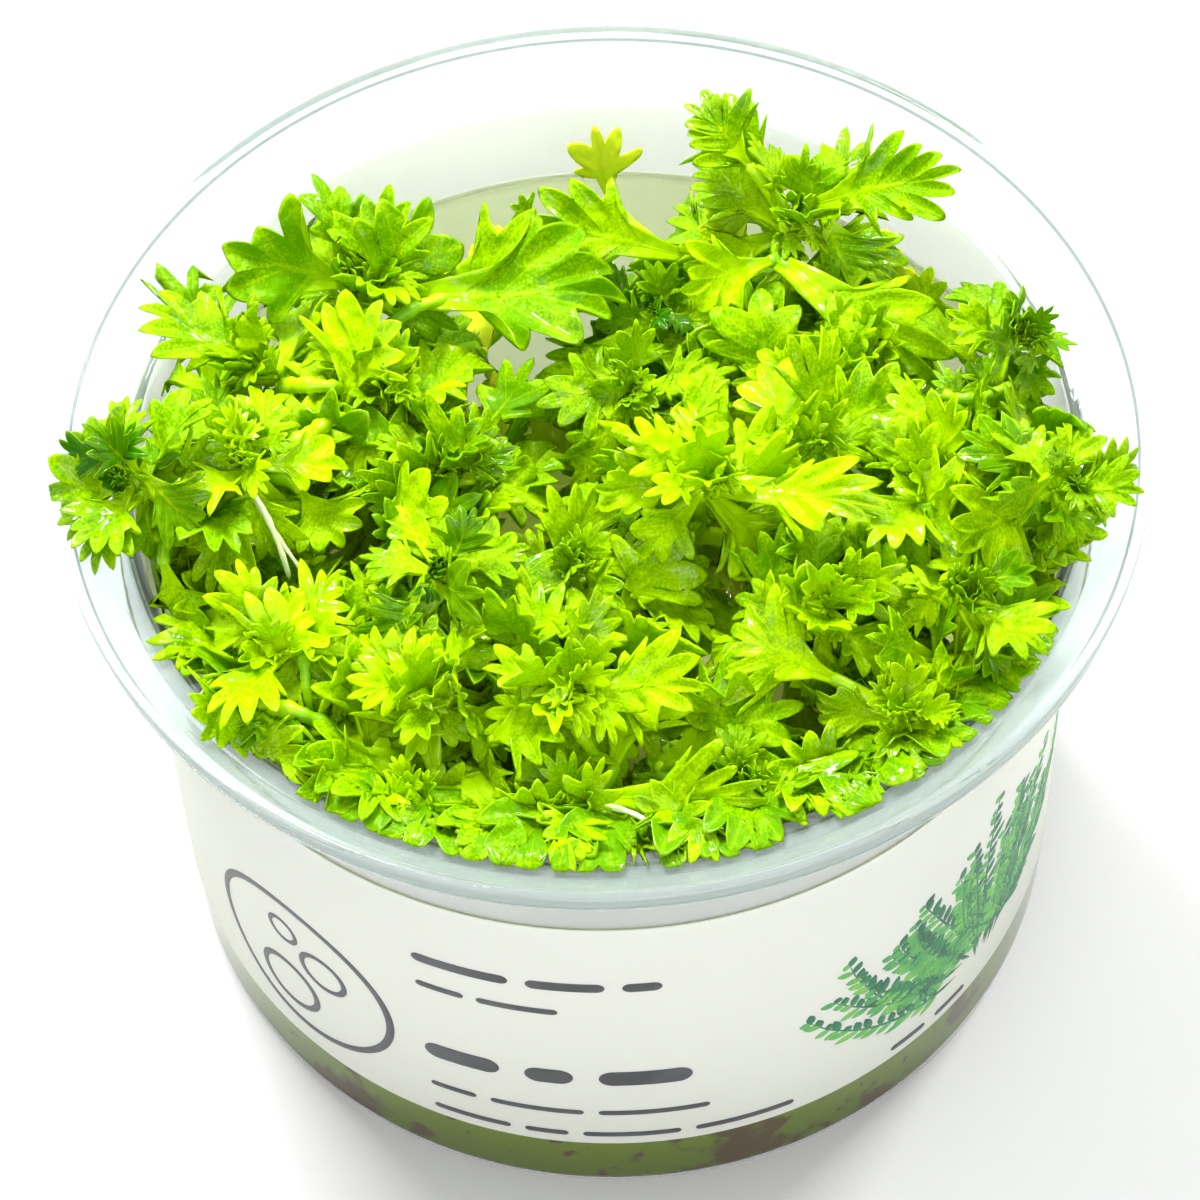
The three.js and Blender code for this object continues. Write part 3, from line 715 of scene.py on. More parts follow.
def spanned_leaf(start, end, width, face, lobes=3, tone=0.5, age=0.0, bend=0.4, chance=0.0,
                 cut=1.0, limit=RIM_RADIUS):
    """One leaf from its foot to its tip, arched by bend, with its upper side towards face."""
    start = np.array(start, float)
    chord = np.array(end, float) - start
    side = unit(np.cross(face, chord))[None]
    direction = turn_about(unit(chord)[None], side, np.array([-bend / 2]))
    return leaf_set(
        base=start[None], direction=direction, normal=np.cross(direction, side),
        length=np.linalg.norm(chord) * bend / (2 * math.sin(bend / 2)), width=width, bend=bend,
        fold=0.2, lobes=lobes, tone=tone, age=age, chance=chance, cut=cut, reach=limit)


def table_leaves(table, key):
    """Single leaves of a table, each turned a little out of the plane that faces up and front."""
    sets = []
    for number, row in enumerate(table):
        foot, tip, (width, lobes, tone, age) = row[:3], row[3:6], row[6:]
        face = (0.6 * jitter(key, number, 41), -0.45 + 0.4 * jitter(key, number, 42), 0.85)
        sets.append(spanned_leaf(
            foot, foot + (tip - foot) * LEAF_REACH, width * LEAF_REACH, face, lobes, tone, age,
            0.5 + 0.35 * jitter(key, number, 43), jitter(key, number, 44)))
    return joined_leaves(sets)


def ring_leaves(key, angle, lean, foot, tip, rise, inward, tone, spread, *shape):
    """Leaves in a ring round the cup's axis, with two and three lobes a side in turn.

    foot and tip are each a radius and a height, and lean is how far the tip stands to one side
    of the foot. A leaf faces up by rise and inward by inward, its tone varies by spread, and
    shape is its half width, its bend and what else a spanned leaf takes.
    """
    width, bend, *limits = shape
    out = np.stack([np.cos(angle), np.sin(angle), np.zeros(len(angle))], axis=-1)
    aside = out[:, [1, 0, 2]] * [-0.5, 0.5, 0] * lean[:, None]
    feet = out * np.reshape(foot[0], (-1, 1)) - aside
    tips = out * np.reshape(tip[0], (-1, 1)) + aside
    feet[:, 2], tips[:, 2] = foot[1], tip[1]
    return joined_leaves([
        spanned_leaf(feet[i], tips[i], width, np.array([0, 0, rise]) - inward * out[i], 2 + i % 2,
                     tone + spread * jitter(key, i, 55), 0.0, bend, jitter(key, i, 56), *limits)
        for i in range(len(angle))])


def edge_leaves():
    """Leaves that lean against the inside of the wall, evenly spaced from the left, round the
    front, to the right: each rises from inside the mass to its tip near the wall's top."""
    key = 7
    index = np.arange(EDGE_LEAVES)
    vary = partial(jitter, key, index)
    angle = EDGE_ARC[0] + EDGE_ARC[1] * (index + 0.5 * vary(51)) / EDGE_LEAVES
    over = (index % 3 != 0) & (index > 5) & (index < EDGE_LEAVES - 5)
    # The tone 0.32 is painted shade: these leaves are darkened for the shade deep in the mass by the wall
    return ring_leaves(
        key, angle, 5 * vary(52), (LEAF_LIMIT - 6.5, 52 + 2 * vary(53) + 3.5 * over),
        (LEAF_LIMIT + np.where(over, 3.4, -0.3), 59.8 + 2.2 * over + 1.2 * vary(54)),
        0.7, 0.6, 0.32, 0.35, 5.0, 0.4)


def shoulder_leaves():
    """Broad leaves that lie on the cup's shoulder round the front, up to the flange's step."""
    key = 9
    index = np.arange(SHOULDER_LEAVES)
    vary = partial(jitter, key, index)
    share = (index + 0.4 * vary(51)) / (SHOULDER_LEAVES - 1)
    # The tone 0.05 is painted shade: these front leaves are darkened for the deep shade between them
    return ring_leaves(
        key, SHOULDER_ARC[0] + SHOULDER_ARC[1] * share, 9 * vary(52),
        (LEAF_LIMIT - 8.5, 55.5 + 1.5 * vary(53)), (SHOULDER_REACH + 0.9, 61.5),
        0.9, 0.3, 0.05, 0.25, 5.6, 0.5, 0.8, SHOULDER_REACH)


def stalk_controls(leaves):
    """Bezier controls of the stalks that join single leaves to the plant.

    Each stalk starts at the point of a stem or side shoot nearest to the leaf's foot, where
    height above the foot counts double, and it ends inside the foot, along the leaf.
    """
    share = np.linspace(0.3, 0.97, 30)
    lines = [stem_controls(number) for number in range(len(SHOOTS))]
    lines += [side_controls(*branch)[0] for branch in BRANCHES]
    points = bezier(np.array(lines), share)[0].reshape(-1, 3)
    feet = leaves["base"]
    gap = np.linalg.norm(points[None] - feet[:, None], axis=-1)
    above = np.maximum(0, points[None, :, 2] - feet[:, None, 2] + 2)
    start = points[np.argmin(gap + 2 * above, axis=1)]
    reach = np.linalg.norm(feet - start, axis=-1)[:, None]
    end = feet + leaves["direction"] * (0.12 * leaves["length"][:, None])
    rise = start + (feet - start) * 0.3 + np.array([0, 0, 0.25]) * reach
    return np.stack([start, rise, feet - leaves["direction"] * 0.3 * reach, end], axis=1)


# Leaf surfaces

def smooth_rise(x, low, high):
    """Smoothstep from 0 at low to 1 at high."""
    t = np.clip((x - low) / (high - low), 0, 1)
    return t * t * (3 - 2 * t)


def flange_height(radius):
    """Height of the flange's upper face at a radius, as a straight slope."""
    start = WALL_RADIUS + 1.2
    slope = (RIM_HEIGHT - WALL_TOP - 1.6) / (RIM_RADIUS - 0.9 - start)
    return WALL_TOP + 1.2 + np.maximum(0, radius - start) * slope


def settle(points, reach):
    """Points near the wall or over the rim moved so that a leaf lies against the cup.

    Below the shoulder they stay inside the wall, and above it inside the leaf's reach and on
    top of the flange.
    """
    radius = np.hypot(points[..., 0], points[..., 1])
    below = points[..., 2] < RIM_ZONE
    limit = np.minimum(radius, np.where(below, LEAF_LIMIT, reach))
    shrink = limit / np.maximum(radius, 1e-6)
    floor = np.where((radius > LEAF_LIMIT) & ~below, flange_height(limit) + RIM_GAP, -np.inf)
    return np.stack([points[..., 0] * shrink, points[..., 1] * shrink,
                     np.maximum(points[..., 2], floor)], axis=-1)


def blade_rows(lobes, count):
    """Places from a blade's base to its tip, so spaced that a row falls on each lobe's tip and
    each sinus: the lobes' half widths are shared out over whole numbers of rows."""
    places = np.empty((len(lobes), count))
    for kind in np.unique(lobes):
        marks = np.arange(2 * kind + 2)
        rows = np.round(marks * (count - 1) / (2 * kind + 1))
        places[lobes == kind] = np.interp(np.arange(count), rows, marks / (2 * kind + 1))
    return places[..., None]


def lobe_rays(u, lobes, chance, sign, cut):
    """Foot, length and angle of the rays that span one half of a blade, in shares of its length,
    and the phase of the lobes.

    u runs from the blade's base to its tip. A ray's foot climbs the midrib, its angle to the
    midrib falls from LOBE_SPREAD to 0, and its length is an envelope, a half wave of u, cut
    between the lobes by a power of the distance from each lobe's middle. The last half lobe is
    the leaf's end lobe. A leaf with more than FINGER_LOBES lobes has parallel, rounded ones.
    """
    phase = u * (lobes + 0.5)
    lobe = np.floor(phase + 1e-6)
    off = np.abs(2 * (phase - lobe) - 1)
    foot = BLADE_START + (BLADE_STOP - BLADE_START) * u
    to_tip = 1 - smooth_rise(u, 0.7, 0.95)
    turned = 1 + 0.18 * jitter(chance * 13, lobe - 2 * sign, 23) * to_tip
    angle = LOBE_SPREAD * (1 - u ** 1.4) * (0.6 + 0.4 * smooth_rise(u, 0, 0.14)) * turned
    wave = np.sin(math.pi * (0.2 + 0.65 * u))
    envelope = 0.15 + 0.22 * wave ** 0.8 + 0.04 * smooth_rise(u, 0.8, 1)
    uneven = 1 + 0.2 * jitter(chance * 17, lobe + 3 * sign, 21) * to_tip
    fingers = lobes > FINGER_LOBES
    depth = cut * (LOBE_DEPTH + 0.1 * chance + 0.12 * fingers) * smooth_rise(u, 0, 0.1)
    power = np.where(fingers, 2.8, SINUS_POWER)
    notch = (1 - depth * off ** power) * (1 - np.where(fingers, 0.05, LOBE_POINT) * off)
    length = envelope * uneven * notch * smooth_rise(u, -0.12, 0.1) + 0.02
    return foot, length, angle, phase


def leaf_section(steps):
    """Places across a leaf's closed section and their side, 1 on top and -1 underneath.

    The section runs from the left edge over the top to the right edge and back underneath. The
    last step on each side is a narrow margin, so that the blade looks flat up to its thin edge.
    """
    half = np.append(np.linspace(0, MARGIN, steps), 1.0)
    out = np.concatenate([-half[:0:-1], half])
    across = np.concatenate([out, out[-2:0:-1]])
    side = np.concatenate([[0], np.ones(2 * steps - 1), [0], -np.ones(2 * steps - 1)])
    return across, side


def leaf_faces(rows, steps):
    """Quads of one leaf, and the triangles at its foot.

    The first row shrinks to a point. In the last row both halves lie along the end lobe's
    middle, so the right half's points there are the left half's.
    """
    columns = 4 * steps
    index = np.arange(rows * columns).reshape(rows, columns)
    place = np.arange(columns)
    mirror = np.where(place <= 2 * steps, 2 * steps - place, 6 * steps - place) % columns
    right = np.where(place <= 2 * steps, place > steps, place < 3 * steps)
    index[-1] = np.where(right, index[-1][mirror], index[-1])
    index[0] = index[0, 0]
    after = np.roll(index, -1, axis=1)
    quads = np.stack([index[1:-1], index[2:], after[2:], after[1:-1]], axis=-1).reshape(-1, 4)
    fan = np.stack([index[0], index[1], after[1]], axis=-1)
    return quads, fan


def leaf_surfaces(leaves, thickness, rows, steps):
    """Points, UV and tone of closed leaf surfaces for a whole leaf set.

    Across a stalk a point is the stalk's half width times its place. In the blade it lies on its
    lobe ray, at the ray's foot plus its place times the ray. The flat leaf is then folded up at
    the midrib, its lobes are cupped by a cosine of their phase, its plane is bent along an arc,
    and the two skins are set half a thickness apart.
    """
    across, skin_side = leaf_section(steps)
    column = {key: value[:, None, None] for key, value in leaves.items() if value.ndim == 1}
    length, bend, chance = column["length"], column["bend"], column["chance"]
    u = blade_rows(leaves["lobes"], rows - STALK_STEPS)
    spots = across[None, None, :]
    foot, ray, angle, phase = lobe_rays(u, column["lobes"], chance, np.sign(spots), column["cut"])
    breadth = BLADE_BREADTH * column["width"] / (WIDTH_SHARE * length)
    stalk = np.linspace(0, BLADE_START, STALK_STEPS, endpoint=False)[None, :, None]
    stalk_half = 0.045 + 0.05 * (stalk / BLADE_START) ** 2

    def stalk_then_blade(on_stalk, on_blade):
        sizes = (len(u), STALK_STEPS, len(across)), (len(u), rows - STALK_STEPS, len(across))
        return np.concatenate([np.broadcast_to(on_stalk, sizes[0]),
                               np.broadcast_to(on_blade, sizes[1])], axis=1)

    x = stalk_then_blade(stalk, foot + np.abs(spots) * ray * np.cos(angle))
    y = stalk_then_blade(stalk_half * spots, spots * ray * np.sin(angle) * breadth)
    phase = stalk_then_blade(-0.25, phase)
    blade = smooth_rise(x, 0.15, 0.5)
    soft = np.sqrt(y ** 2 + 0.0006) - math.sqrt(0.0006)
    cup = 0.035 * np.cos(2 * math.pi * phase) - 0.05 * chance
    lift = length * (soft * np.sin(column["fold"]) + blade * spots ** 2 * cup
                     + 0.03 * np.sin(9 * x + 6 * chance) * blade)
    y = y * np.cos(column["fold"])
    turn = bend * x
    direction, normal = leaves["direction"][:, None, None], leaves["normal"][:, None, None]
    side = np.cross(normal, direction)
    arc_out = (length * np.sin(turn) / bend)[..., None]
    arc_down = (length * (1 - np.cos(turn)) / bend)[..., None]
    up = normal * np.cos(turn)[..., None] + direction * np.sin(turn)[..., None]
    twist = 0.5 * chance * x
    side, up = (side * np.cos(twist)[..., None] + up * np.sin(twist)[..., None],
                up * np.cos(twist)[..., None] - side * np.sin(twist)[..., None])
    points = (leaves["base"][:, None, None] + direction * arc_out - normal * arc_down
              + side * (length * y)[..., None] + up * lift[..., None])
    points = settle(points, column["reach"])
    rib = np.exp(-(across / 0.15) ** 2)[None, None, :]
    near_stalk = 0.25 * (1 - smooth_rise(x, 0.1, 0.4))
    top = 0.5 * thickness * (1 - 0.35 * rib) + near_stalk
    under = 0.5 * thickness * (1 + rib * (1 - 0.7 * x)) + near_stalk
    skin = np.where(skin_side > 0, top, under) * skin_side * np.clip(length / 10, 0.35, 1.1)
    points = points + up * skin[..., None]
    uv = np.stack([phase / 8 + 0.25, np.broadcast_to(spots * 0.5 + 0.5, phase.shape)], axis=-1)
    # Tone attribute: tone, age, painted shade of the heart, chance
    tone = np.stack([np.broadcast_to(value, phase.shape) for value in (
        column["tone"], column["age"], column["heart"], (chance + 1) / 2)], axis=-1)
    return points, uv, tone


def leaf_piece(name, leaves, settings, grid, node=None):
    """One piece of many leaves, each a closed surface of the grid's rows and steps per half."""
    rows, steps = grid
    points, uv, tone = leaf_surfaces(leaves, settings.thickness, rows, steps)
    offsets = np.arange(len(points))[:, None, None] * rows * 4 * steps
    faces = [(part[None] + offsets).reshape(-1, part.shape[1]) for part in leaf_faces(rows, steps)]
    material = bpy.data.materials.get("fresh_wet_leaf") or fresh_leaf(settings)
    declare(put_mesh(name, points, faces, material, uv, tone), node)


def per_metre(size):
    """Texture scale whose features are about that many millimetres across."""
    return 1.0 / (size * MM)


# Materials. Sockets 0, 6 and 7 of a Mix node are its factor and its two colours.

def cup_plastic(settings):
    """Clear polypropylene, injection moulded: see-through low in the thin wall, milky above the label,
    where the milkiness is painted reflection, and milky and faintly blue-green in the thicker
    flange, with fine moulding scratches."""
    material, node = new_material("moulded_clear_polypropylene")
    place = node("TexCoord").outputs["Object"]
    stretched = node("Mapping", {
        "Vector": place, "Rotation": (0.4, 0.3, 0.7), "Scale": (1.0, 1.0, 12.0)})
    scratches = node("TexNoise", {
        "Vector": stretched, "Scale": per_metre(3.8), "Detail": 3.0, "Roughness": 0.65})
    bump = node("Bump", {"Height": scratches, "Strength": 0.04, "Distance": 0.0002})
    height = node("SeparateXYZ", {"Vector": place}).outputs["Z"]
    share = node("MapRange", {"Value": height, "From Max": RIM_HEIGHT * MM})
    # Clarity: the milky band above the label is painted reflection
    clarity = node("ValToRGB", {"Fac": share})
    stops = clarity.color_ramp.elements
    stops.remove(stops[1])
    for level, value in CLARITY_STOPS:
        stop = stops.new(level / RIM_HEIGHT)
        stop.color = (value, value, value, 1.0)
    stops.remove(stops[0])
    high = node("MapRange", {
        "Value": height, "From Min": (WALL_TOP - 0.5) * MM, "From Max": (WALL_TOP + 0.5) * MM})
    body = node("Mix", {0: high, 6: settings.tint, 7: settings.flange})
    shader = node("BsdfPrincipled", {
        "Base Color": body, "Roughness": settings.roughness, "IOR": 1.36,
        "Transmission Weight": clarity, "Normal": bump})
    node("OutputMaterial", {"Surface": shader})
    return material


def label_film(settings):
    """Printed polypropylene label film: white and satin, with a fine speckle in its coating. Its
    inner face is painted yellow-green for the green light of the leaves; light comes through it."""
    material, node = new_material("satin_label_film")
    place = node("TexCoord").outputs["Object"]
    speck = node("TexVoronoi", {"Vector": place, "Scale": per_metre(1 / 0.9)})
    ramp = node("MapRange", {
        "Value": speck, "From Min": 0.08, "From Max": 0.22, "To Min": 0.9, "To Max": 1.0})
    film = node("Mix", {0: ramp, 6: hex_colour("#EEEEF2"), 7: settings.film})
    flat = node("VectorMath", {0: place, 1: (1.0, 1.0, 0.0)}, operation="MULTIPLY")
    radius = node("VectorMath", {0: flat}, operation="LENGTH")
    outside = node("MapRange", {
        "Value": radius, "From Min": (WALL_RADIUS + 0.08) * MM,
        "From Max": (WALL_RADIUS + 0.12) * MM})
    # Painted light: the inner face takes the back colour, for the green light that the leaves throw on it
    film = node("Mix", {0: outside, 6: settings.back, 7: film})
    shader = node("BsdfPrincipled", {"Base Color": film, "Roughness": 0.38, "IOR": 1.45})
    through = node("BsdfTranslucent", {"Color": hex_colour("#FAFFEE")})
    both = node("MixShader", {0: 0.42, 1: shader, 2: through})
    node("OutputMaterial", {"Surface": both})
    return material


def printed_ink(name, first, second):
    """Flexographic ink on film: flat and satin, with a slight unevenness of colour."""
    material, node = new_material(name)
    place = node("TexCoord").outputs["Object"]
    noise = node("TexNoise", {"Vector": place, "Scale": 300.0, "Detail": 2.0})
    spread = node("MapRange", {"Value": noise, "From Min": 0.35, "From Max": 0.65})
    ink = node("Mix", {0: spread, 6: first, 7: second})
    shader = node("BsdfPrincipled", {"Base Color": ink, "Roughness": 0.42, "IOR": 1.5})
    node("OutputMaterial", {"Surface": shader})
    return material


def agar_gel(settings):
    """Set agar gel: olive, moist and slightly cloudy, paler on its lit top, which is painted light,
    with soft brown blotches of old root and leaf."""
    material, node = new_material("set_agar_gel")
    place = node("TexCoord").outputs["Object"]
    height = node("SeparateXYZ", {"Vector": place}).outputs["Z"]
    rise = node("MapRange", {"Value": height, "From Min": 0.0, "From Max": GEL_TOP * MM})
    side = node("Mix", {0: rise, 6: settings.lower, 7: settings.upper})
    # Painted light: the top of the gel takes the paler colour of its lit surface
    top = node("MapRange", {
        "Value": height, "From Min": (GEL_TOP - 1.0) * MM, "From Max": (GEL_TOP - 0.3) * MM})
    body = node("Mix", {0: top, 6: side, 7: settings.surface})
    cloud = node("TexNoise", {"Vector": place, "Scale": per_metre(3), "Detail": 3.0})
    ragged = node("MapRange", {
        "Value": cloud, "From Min": 0.3, "From Max": 0.7, "To Min": 1.9, "To Max": 0.1})
    patch = None
    for *centre, size in GEL_STAINS:
        gap = node("VectorMath", {0: place, 1: [c * MM for c in centre]}, operation="DISTANCE")
        off = node("Math", {0: gap, 1: ragged}, operation="MULTIPLY")
        spot = node("MapRange", {
            "Value": off, "From Min": 0.5 * size * MM, "From Max": size * MM,
            "To Min": 0.85, "To Max": 0.0})
        patch = node("Math", {0: patch, 1: spot}, operation="MAXIMUM") if patch else spot
    stained = node("Mix", {0: patch, 6: body, 7: settings.stain})
    shader = node("BsdfPrincipled", {"Base Color": stained, "Roughness": 0.25, "IOR": 1.34})
    node("OutputMaterial", {"Surface": shader})
    return material


def fresh_leaf(settings):
    """A living water leaf: thin and slightly translucent, lime green with a fine grain of cells,
    yellow at its stalk, paler at its veins, with a painted highlight along its edge and painted
    shade in a dense heart, yellow when old.
    Patches of it are under a film of water, which is smooth and throws hard white glints.

    The colour mottle is 2.4 mm across, the water patches 5.5 mm and the ripples 1.1 mm. The
    cells are 0.05 mm, drawn here at about 0.3 mm so that they show.
    """
    material, node = new_material("fresh_wet_leaf")
    place = node("TexCoord").outputs["Object"]
    tone = node("Attribute", attribute_name="tone", attribute_type="GEOMETRY")
    parts = node("SeparateColor", {"Color": tone}).outputs
    uv = node("UVMap", uv_map="UVMap")
    along, across, _ = node("SeparateXYZ", {"Vector": uv}).outputs
    centred = node("Math", {0: across, 1: 0.5}, operation="SUBTRACT")
    off_rib = node("Math", {0: centred}, operation="ABSOLUTE")
    rib = node("MapRange", {
        "Value": off_rib, "From Min": 0.01, "From Max": 0.05, "To Min": 0.38, "To Max": 0.0})
    phase = node("Math", {0: along, 1: 8.0}, operation="MULTIPLY")
    wrapped = node("Math", {0: phase, 1: 1.0}, operation="FRACT")
    off_side = node("Math", {0: wrapped, 1: 0.5}, operation="SUBTRACT")
    off_vein = node("Math", {0: off_side}, operation="ABSOLUTE")
    vein = node("MapRange", {
        "Value": off_vein, "From Min": 0.02, "From Max": 0.08, "To Min": 0.2, "To Max": 0.0})
    veins = node("Math", {0: rib, 1: vein}, operation="MAXIMUM")
    # Painted highlight: a paler line along the leaf's thin edge, mixed in with the real veins
    rim = node("MapRange", {"Value": off_rib, "From Min": 0.46, "From Max": 0.49, "To Max": 0.3})
    veins_and_edge_highlight = node("Math", {0: veins, 1: rim}, operation="MAXIMUM")
    mottle = node("TexNoise", {"Vector": place, "Scale": per_metre(2.4), "Detail": 0.0})
    grain = node("TexNoise", {"Vector": place, "Scale": per_metre(0.26), "Detail": 0.0})
    both = node("Math", {0: grain, 1: 1.2, 2: mottle}, operation="MULTIPLY_ADD")
    shift = node("MapRange", {
        "Value": both, "From Min": 0.72, "From Max": 1.48, "To Min": -0.36, "To Max": 0.36})
    # Red of the tone attribute also carries the painted shade of the leaves by the wall and at the front
    brightness = node("Math", {0: parts["Red"], 1: shift}, operation="ADD", use_clamp=True)
    at_stalk = node("MapRange", {
        "Value": along, "From Min": 0.22, "From Max": 0.33, "To Min": 0.7, "To Max": 0.0})
    colour = settings.dark
    # Blue of the tone attribute is the painted shade of a whorl's heart
    for share, layer in ((brightness, settings.bright), (parts["Blue"], settings.heart),
                         (veins_and_edge_highlight, settings.vein), (at_stalk, settings.stalk),
                         (parts["Green"], settings.old)):
        colour = node("Mix", {0: share, 6: colour, 7: layer})
    water = node("TexNoise", {"Vector": place, "Scale": per_metre(5.5), "Detail": 1.0})
    film = node("MapRange", {"Value": water, "From Min": 0.54, "From Max": 0.59})
    gloss = node("MapRange", {"Value": film, "To Min": 0.4, "To Max": 0.06})
    ripple = node("TexNoise", {"Vector": place, "Scale": per_metre(1.1), "Detail": 0.0})
    ribbed = node("Math", {0: ripple, 1: 2.2, 2: veins}, operation="MULTIPLY_ADD")
    bump = node("Bump", {"Height": ribbed, "Strength": 0.7, "Distance": 0.0002})
    sheen = node("Mix", {0: film, 6: hex_colour("#D0FF48"), 7: hex_colour("#FFFFFF")})
    skin = node("BsdfPrincipled", {
        "Base Color": colour, "Roughness": gloss, "IOR": 1.4, "Specular Tint": sheen,
        "Normal": bump})
    lit = node("Mix", {0: 0.45, 6: colour, 7: settings.glow})
    through = node("BsdfTranslucent", {"Color": lit, "Normal": bump})
    blade = node("MixShader", {0: 0.3, 1: skin, 2: through})
    node("OutputMaterial", {"Surface": blade})
    return material


def juicy_stem(settings):
    """A living stem: pale yellow-green, smooth and juicy, with fine lengthwise lines."""
    material, node = new_material("juicy_stem")
    place = node("TexCoord").outputs["Object"]
    stretched = node("Mapping", {"Vector": place, "Scale": (1.0, 1.0, 0.12)})
    lines = node("TexNoise", {"Vector": stretched, "Scale": 1200.0, "Detail": 2.0})
    stretch = node("TexNoise", {"Vector": place, "Scale": per_metre(5), "Detail": 1.0})
    greener = node("MapRange", {"Value": stretch, "From Min": 0.42, "From Max": 0.6})
    lined = node("Mix", {0: lines, 6: settings.skin, 7: hex_colour("#A4D400")})
    shade = node("Mix", {0: greener, 6: lined, 7: hex_colour("#84BE00")})
    bump = node("Bump", {"Height": lines, "Strength": 0.3, "Distance": 0.0002})
    shader = node("BsdfPrincipled", {
        "Base Color": shade, "Roughness": 0.3, "IOR": 1.4, "Normal": bump})
    node("OutputMaterial", {"Surface": shader})
    return material


def pale_root(settings):
    """A young water root: white, smooth and wet, yellower in places."""
    material, node = new_material("pale_wet_root")
    place = node("TexCoord").outputs["Object"]
    noise = node("TexNoise", {"Vector": place, "Scale": per_metre(0.8)})
    shade = node("Mix", {0: noise, 6: settings.root, 7: hex_colour("#D6E88A")})
    shader = node("BsdfPrincipled", {"Base Color": shade, "Roughness": 0.2, "IOR": 1.38})
    node("OutputMaterial", {"Surface": shader})
    return material


def plain_floor(settings):
    """Matte white studio paper."""
    material, node = new_material("white_studio_paper")
    shader = node("BsdfPrincipled", {"Base Color": settings.floor, "Roughness": 0.9})
    node("OutputMaterial", {"Surface": shader})
    return material


# Printing

def print_strip(arcs, heights, half_widths):
    """Closed flat strips on the label's face.

    A strip follows a path of arc length from the front and height, with a half width square to
    it; its section is flat on top, with a narrow slope down to the film at each edge.
    """
    along = unit(np.stack([np.gradient(arcs, axis=-1), np.gradient(heights, axis=-1)], axis=-1))
    sideways = np.stack([-along[..., 1], along[..., 0]], axis=-1)
    place = np.array([-1.0, -0.94, 0.94, 1.0, 0.94, -0.94])
    rise = np.array([0.2, 1.0, 1.0, 0.2, -0.5, -0.5]) * PRINT_THICKNESS
    flat = (np.stack([arcs, heights], axis=-1)[..., None, :]
            + sideways[..., None, :] * (half_widths[..., None] * place)[..., None])
    radius = LABEL_OUTER + rise
    turn = flat[..., 0] / WALL_RADIUS
    return np.stack([radius * np.sin(turn), -radius * np.cos(turn), flat[..., 1]], axis=-1)


def bar_strips():
    """Bars with round ends: half width is that of a circle at each end and constant between."""
    first, last, height, thickness = PRINT_BARS.T[..., None]
    half = thickness / 2
    arcs = first + (last - first) * (1 - np.cos(np.linspace(0, math.pi, 26))) / 2
    from_end = np.minimum(arcs - first, last - arcs)
    width = np.sqrt(np.clip(half ** 2 - np.clip(half - from_end, 0, None) ** 2, 0, None))
    return print_strip(arcs, np.broadcast_to(height, arcs.shape), width)


def ring_strips():
    """Rings: a path once round a circle, worked out one step past each end and cut back, so that
    its ends meet."""
    arc, height, radius, line = PRINT_RINGS.T[..., None]
    step = math.radians(5)
    angle = np.arange(-step, 2 * math.pi + 1.5 * step, step)
    arcs = arc + radius * np.cos(angle)
    heights = height + radius * np.sin(angle)
    return print_strip(arcs, heights, np.broadcast_to(line / 2, arcs.shape))[:, 1:-1]


def sprig_strips():
    """Printed clump of bowed sprigs with lens leaves in loose pairs that shorten to the tip: the
    strips of the stems, of the left leaves and of the right ones.

    The feet lie along a short line and the tips fan out over an arc; lengths, bows and the
    angles of the leaves vary by jitter.
    """
    quarter = np.array([[0, 1], [-1, 0]])
    index = np.arange(SPRIGS)
    fan_out = np.linspace(-1.1, 0.85, SPRIGS) + 0.12 * jitter(1, index, 61)
    reach = 20 + 5 * jitter(2, index, 62)
    foot = np.stack([35 + 8 * index / SPRIGS, 15.5 + 2 * jitter(3, index, 63)], axis=-1)[:, None]
    tip = foot + np.stack([0.85 * reach * np.sin(fan_out), reach * np.cos(fan_out)],
                          axis=-1)[:, None]
    bow = (-2.6 * fan_out + 1.5 * jitter(4, index, 64))[:, None, None]
    across = unit(tip - foot) @ quarter

    def on_stem(t):
        return foot + (tip - foot) * t + across * (bow * 4 * t * (1 - t))

    t = np.linspace(0, 1, 14)[None, :, None]
    stem = on_stem(t)
    stem_width = 0.28 * (1 - 0.8 * t[..., 0]) * np.ones((SPRIGS, 1))
    stem_width[:, [0, -1]] = 0
    strips = [print_strip(stem[..., 0], stem[..., 1], stem_width)]
    pair = np.arange(SPRIG_LEAF_PAIRS)
    share = np.linspace(0.12, 0.97, SPRIG_LEAF_PAIRS)[None, :, None]
    base = on_stem(share)
    forward = unit(on_stem(share + 0.02) - on_stem(share - 0.02))
    s = np.linspace(0, 1, 7)
    width = 0.5 * np.clip(np.sin(math.pi * s), 0, None) ** 0.8
    width[[0, -1]] = 0
    for sign in (-1, 1):
        turn = sign * (0.8 + 0.35 * jitter(index[:, None], pair, 65 + sign))[..., None]
        heading = forward * np.cos(turn) + (forward @ quarter) * np.sin(turn)
        uneven = 1 + 0.4 * jitter(index[:, None], pair, 68 + sign)[..., None]
        blade = heading * (3.3 * (1 - 0.6 * share) * uneven)
        path = base[:, :, None] + blade[:, :, None] * s[:, None]
        path = path.reshape(-1, len(s), 2)
        strips.append(print_strip(path[..., 0], path[..., 1],
                                  np.broadcast_to(width, path.shape[:2])))
    return strips


# Operators

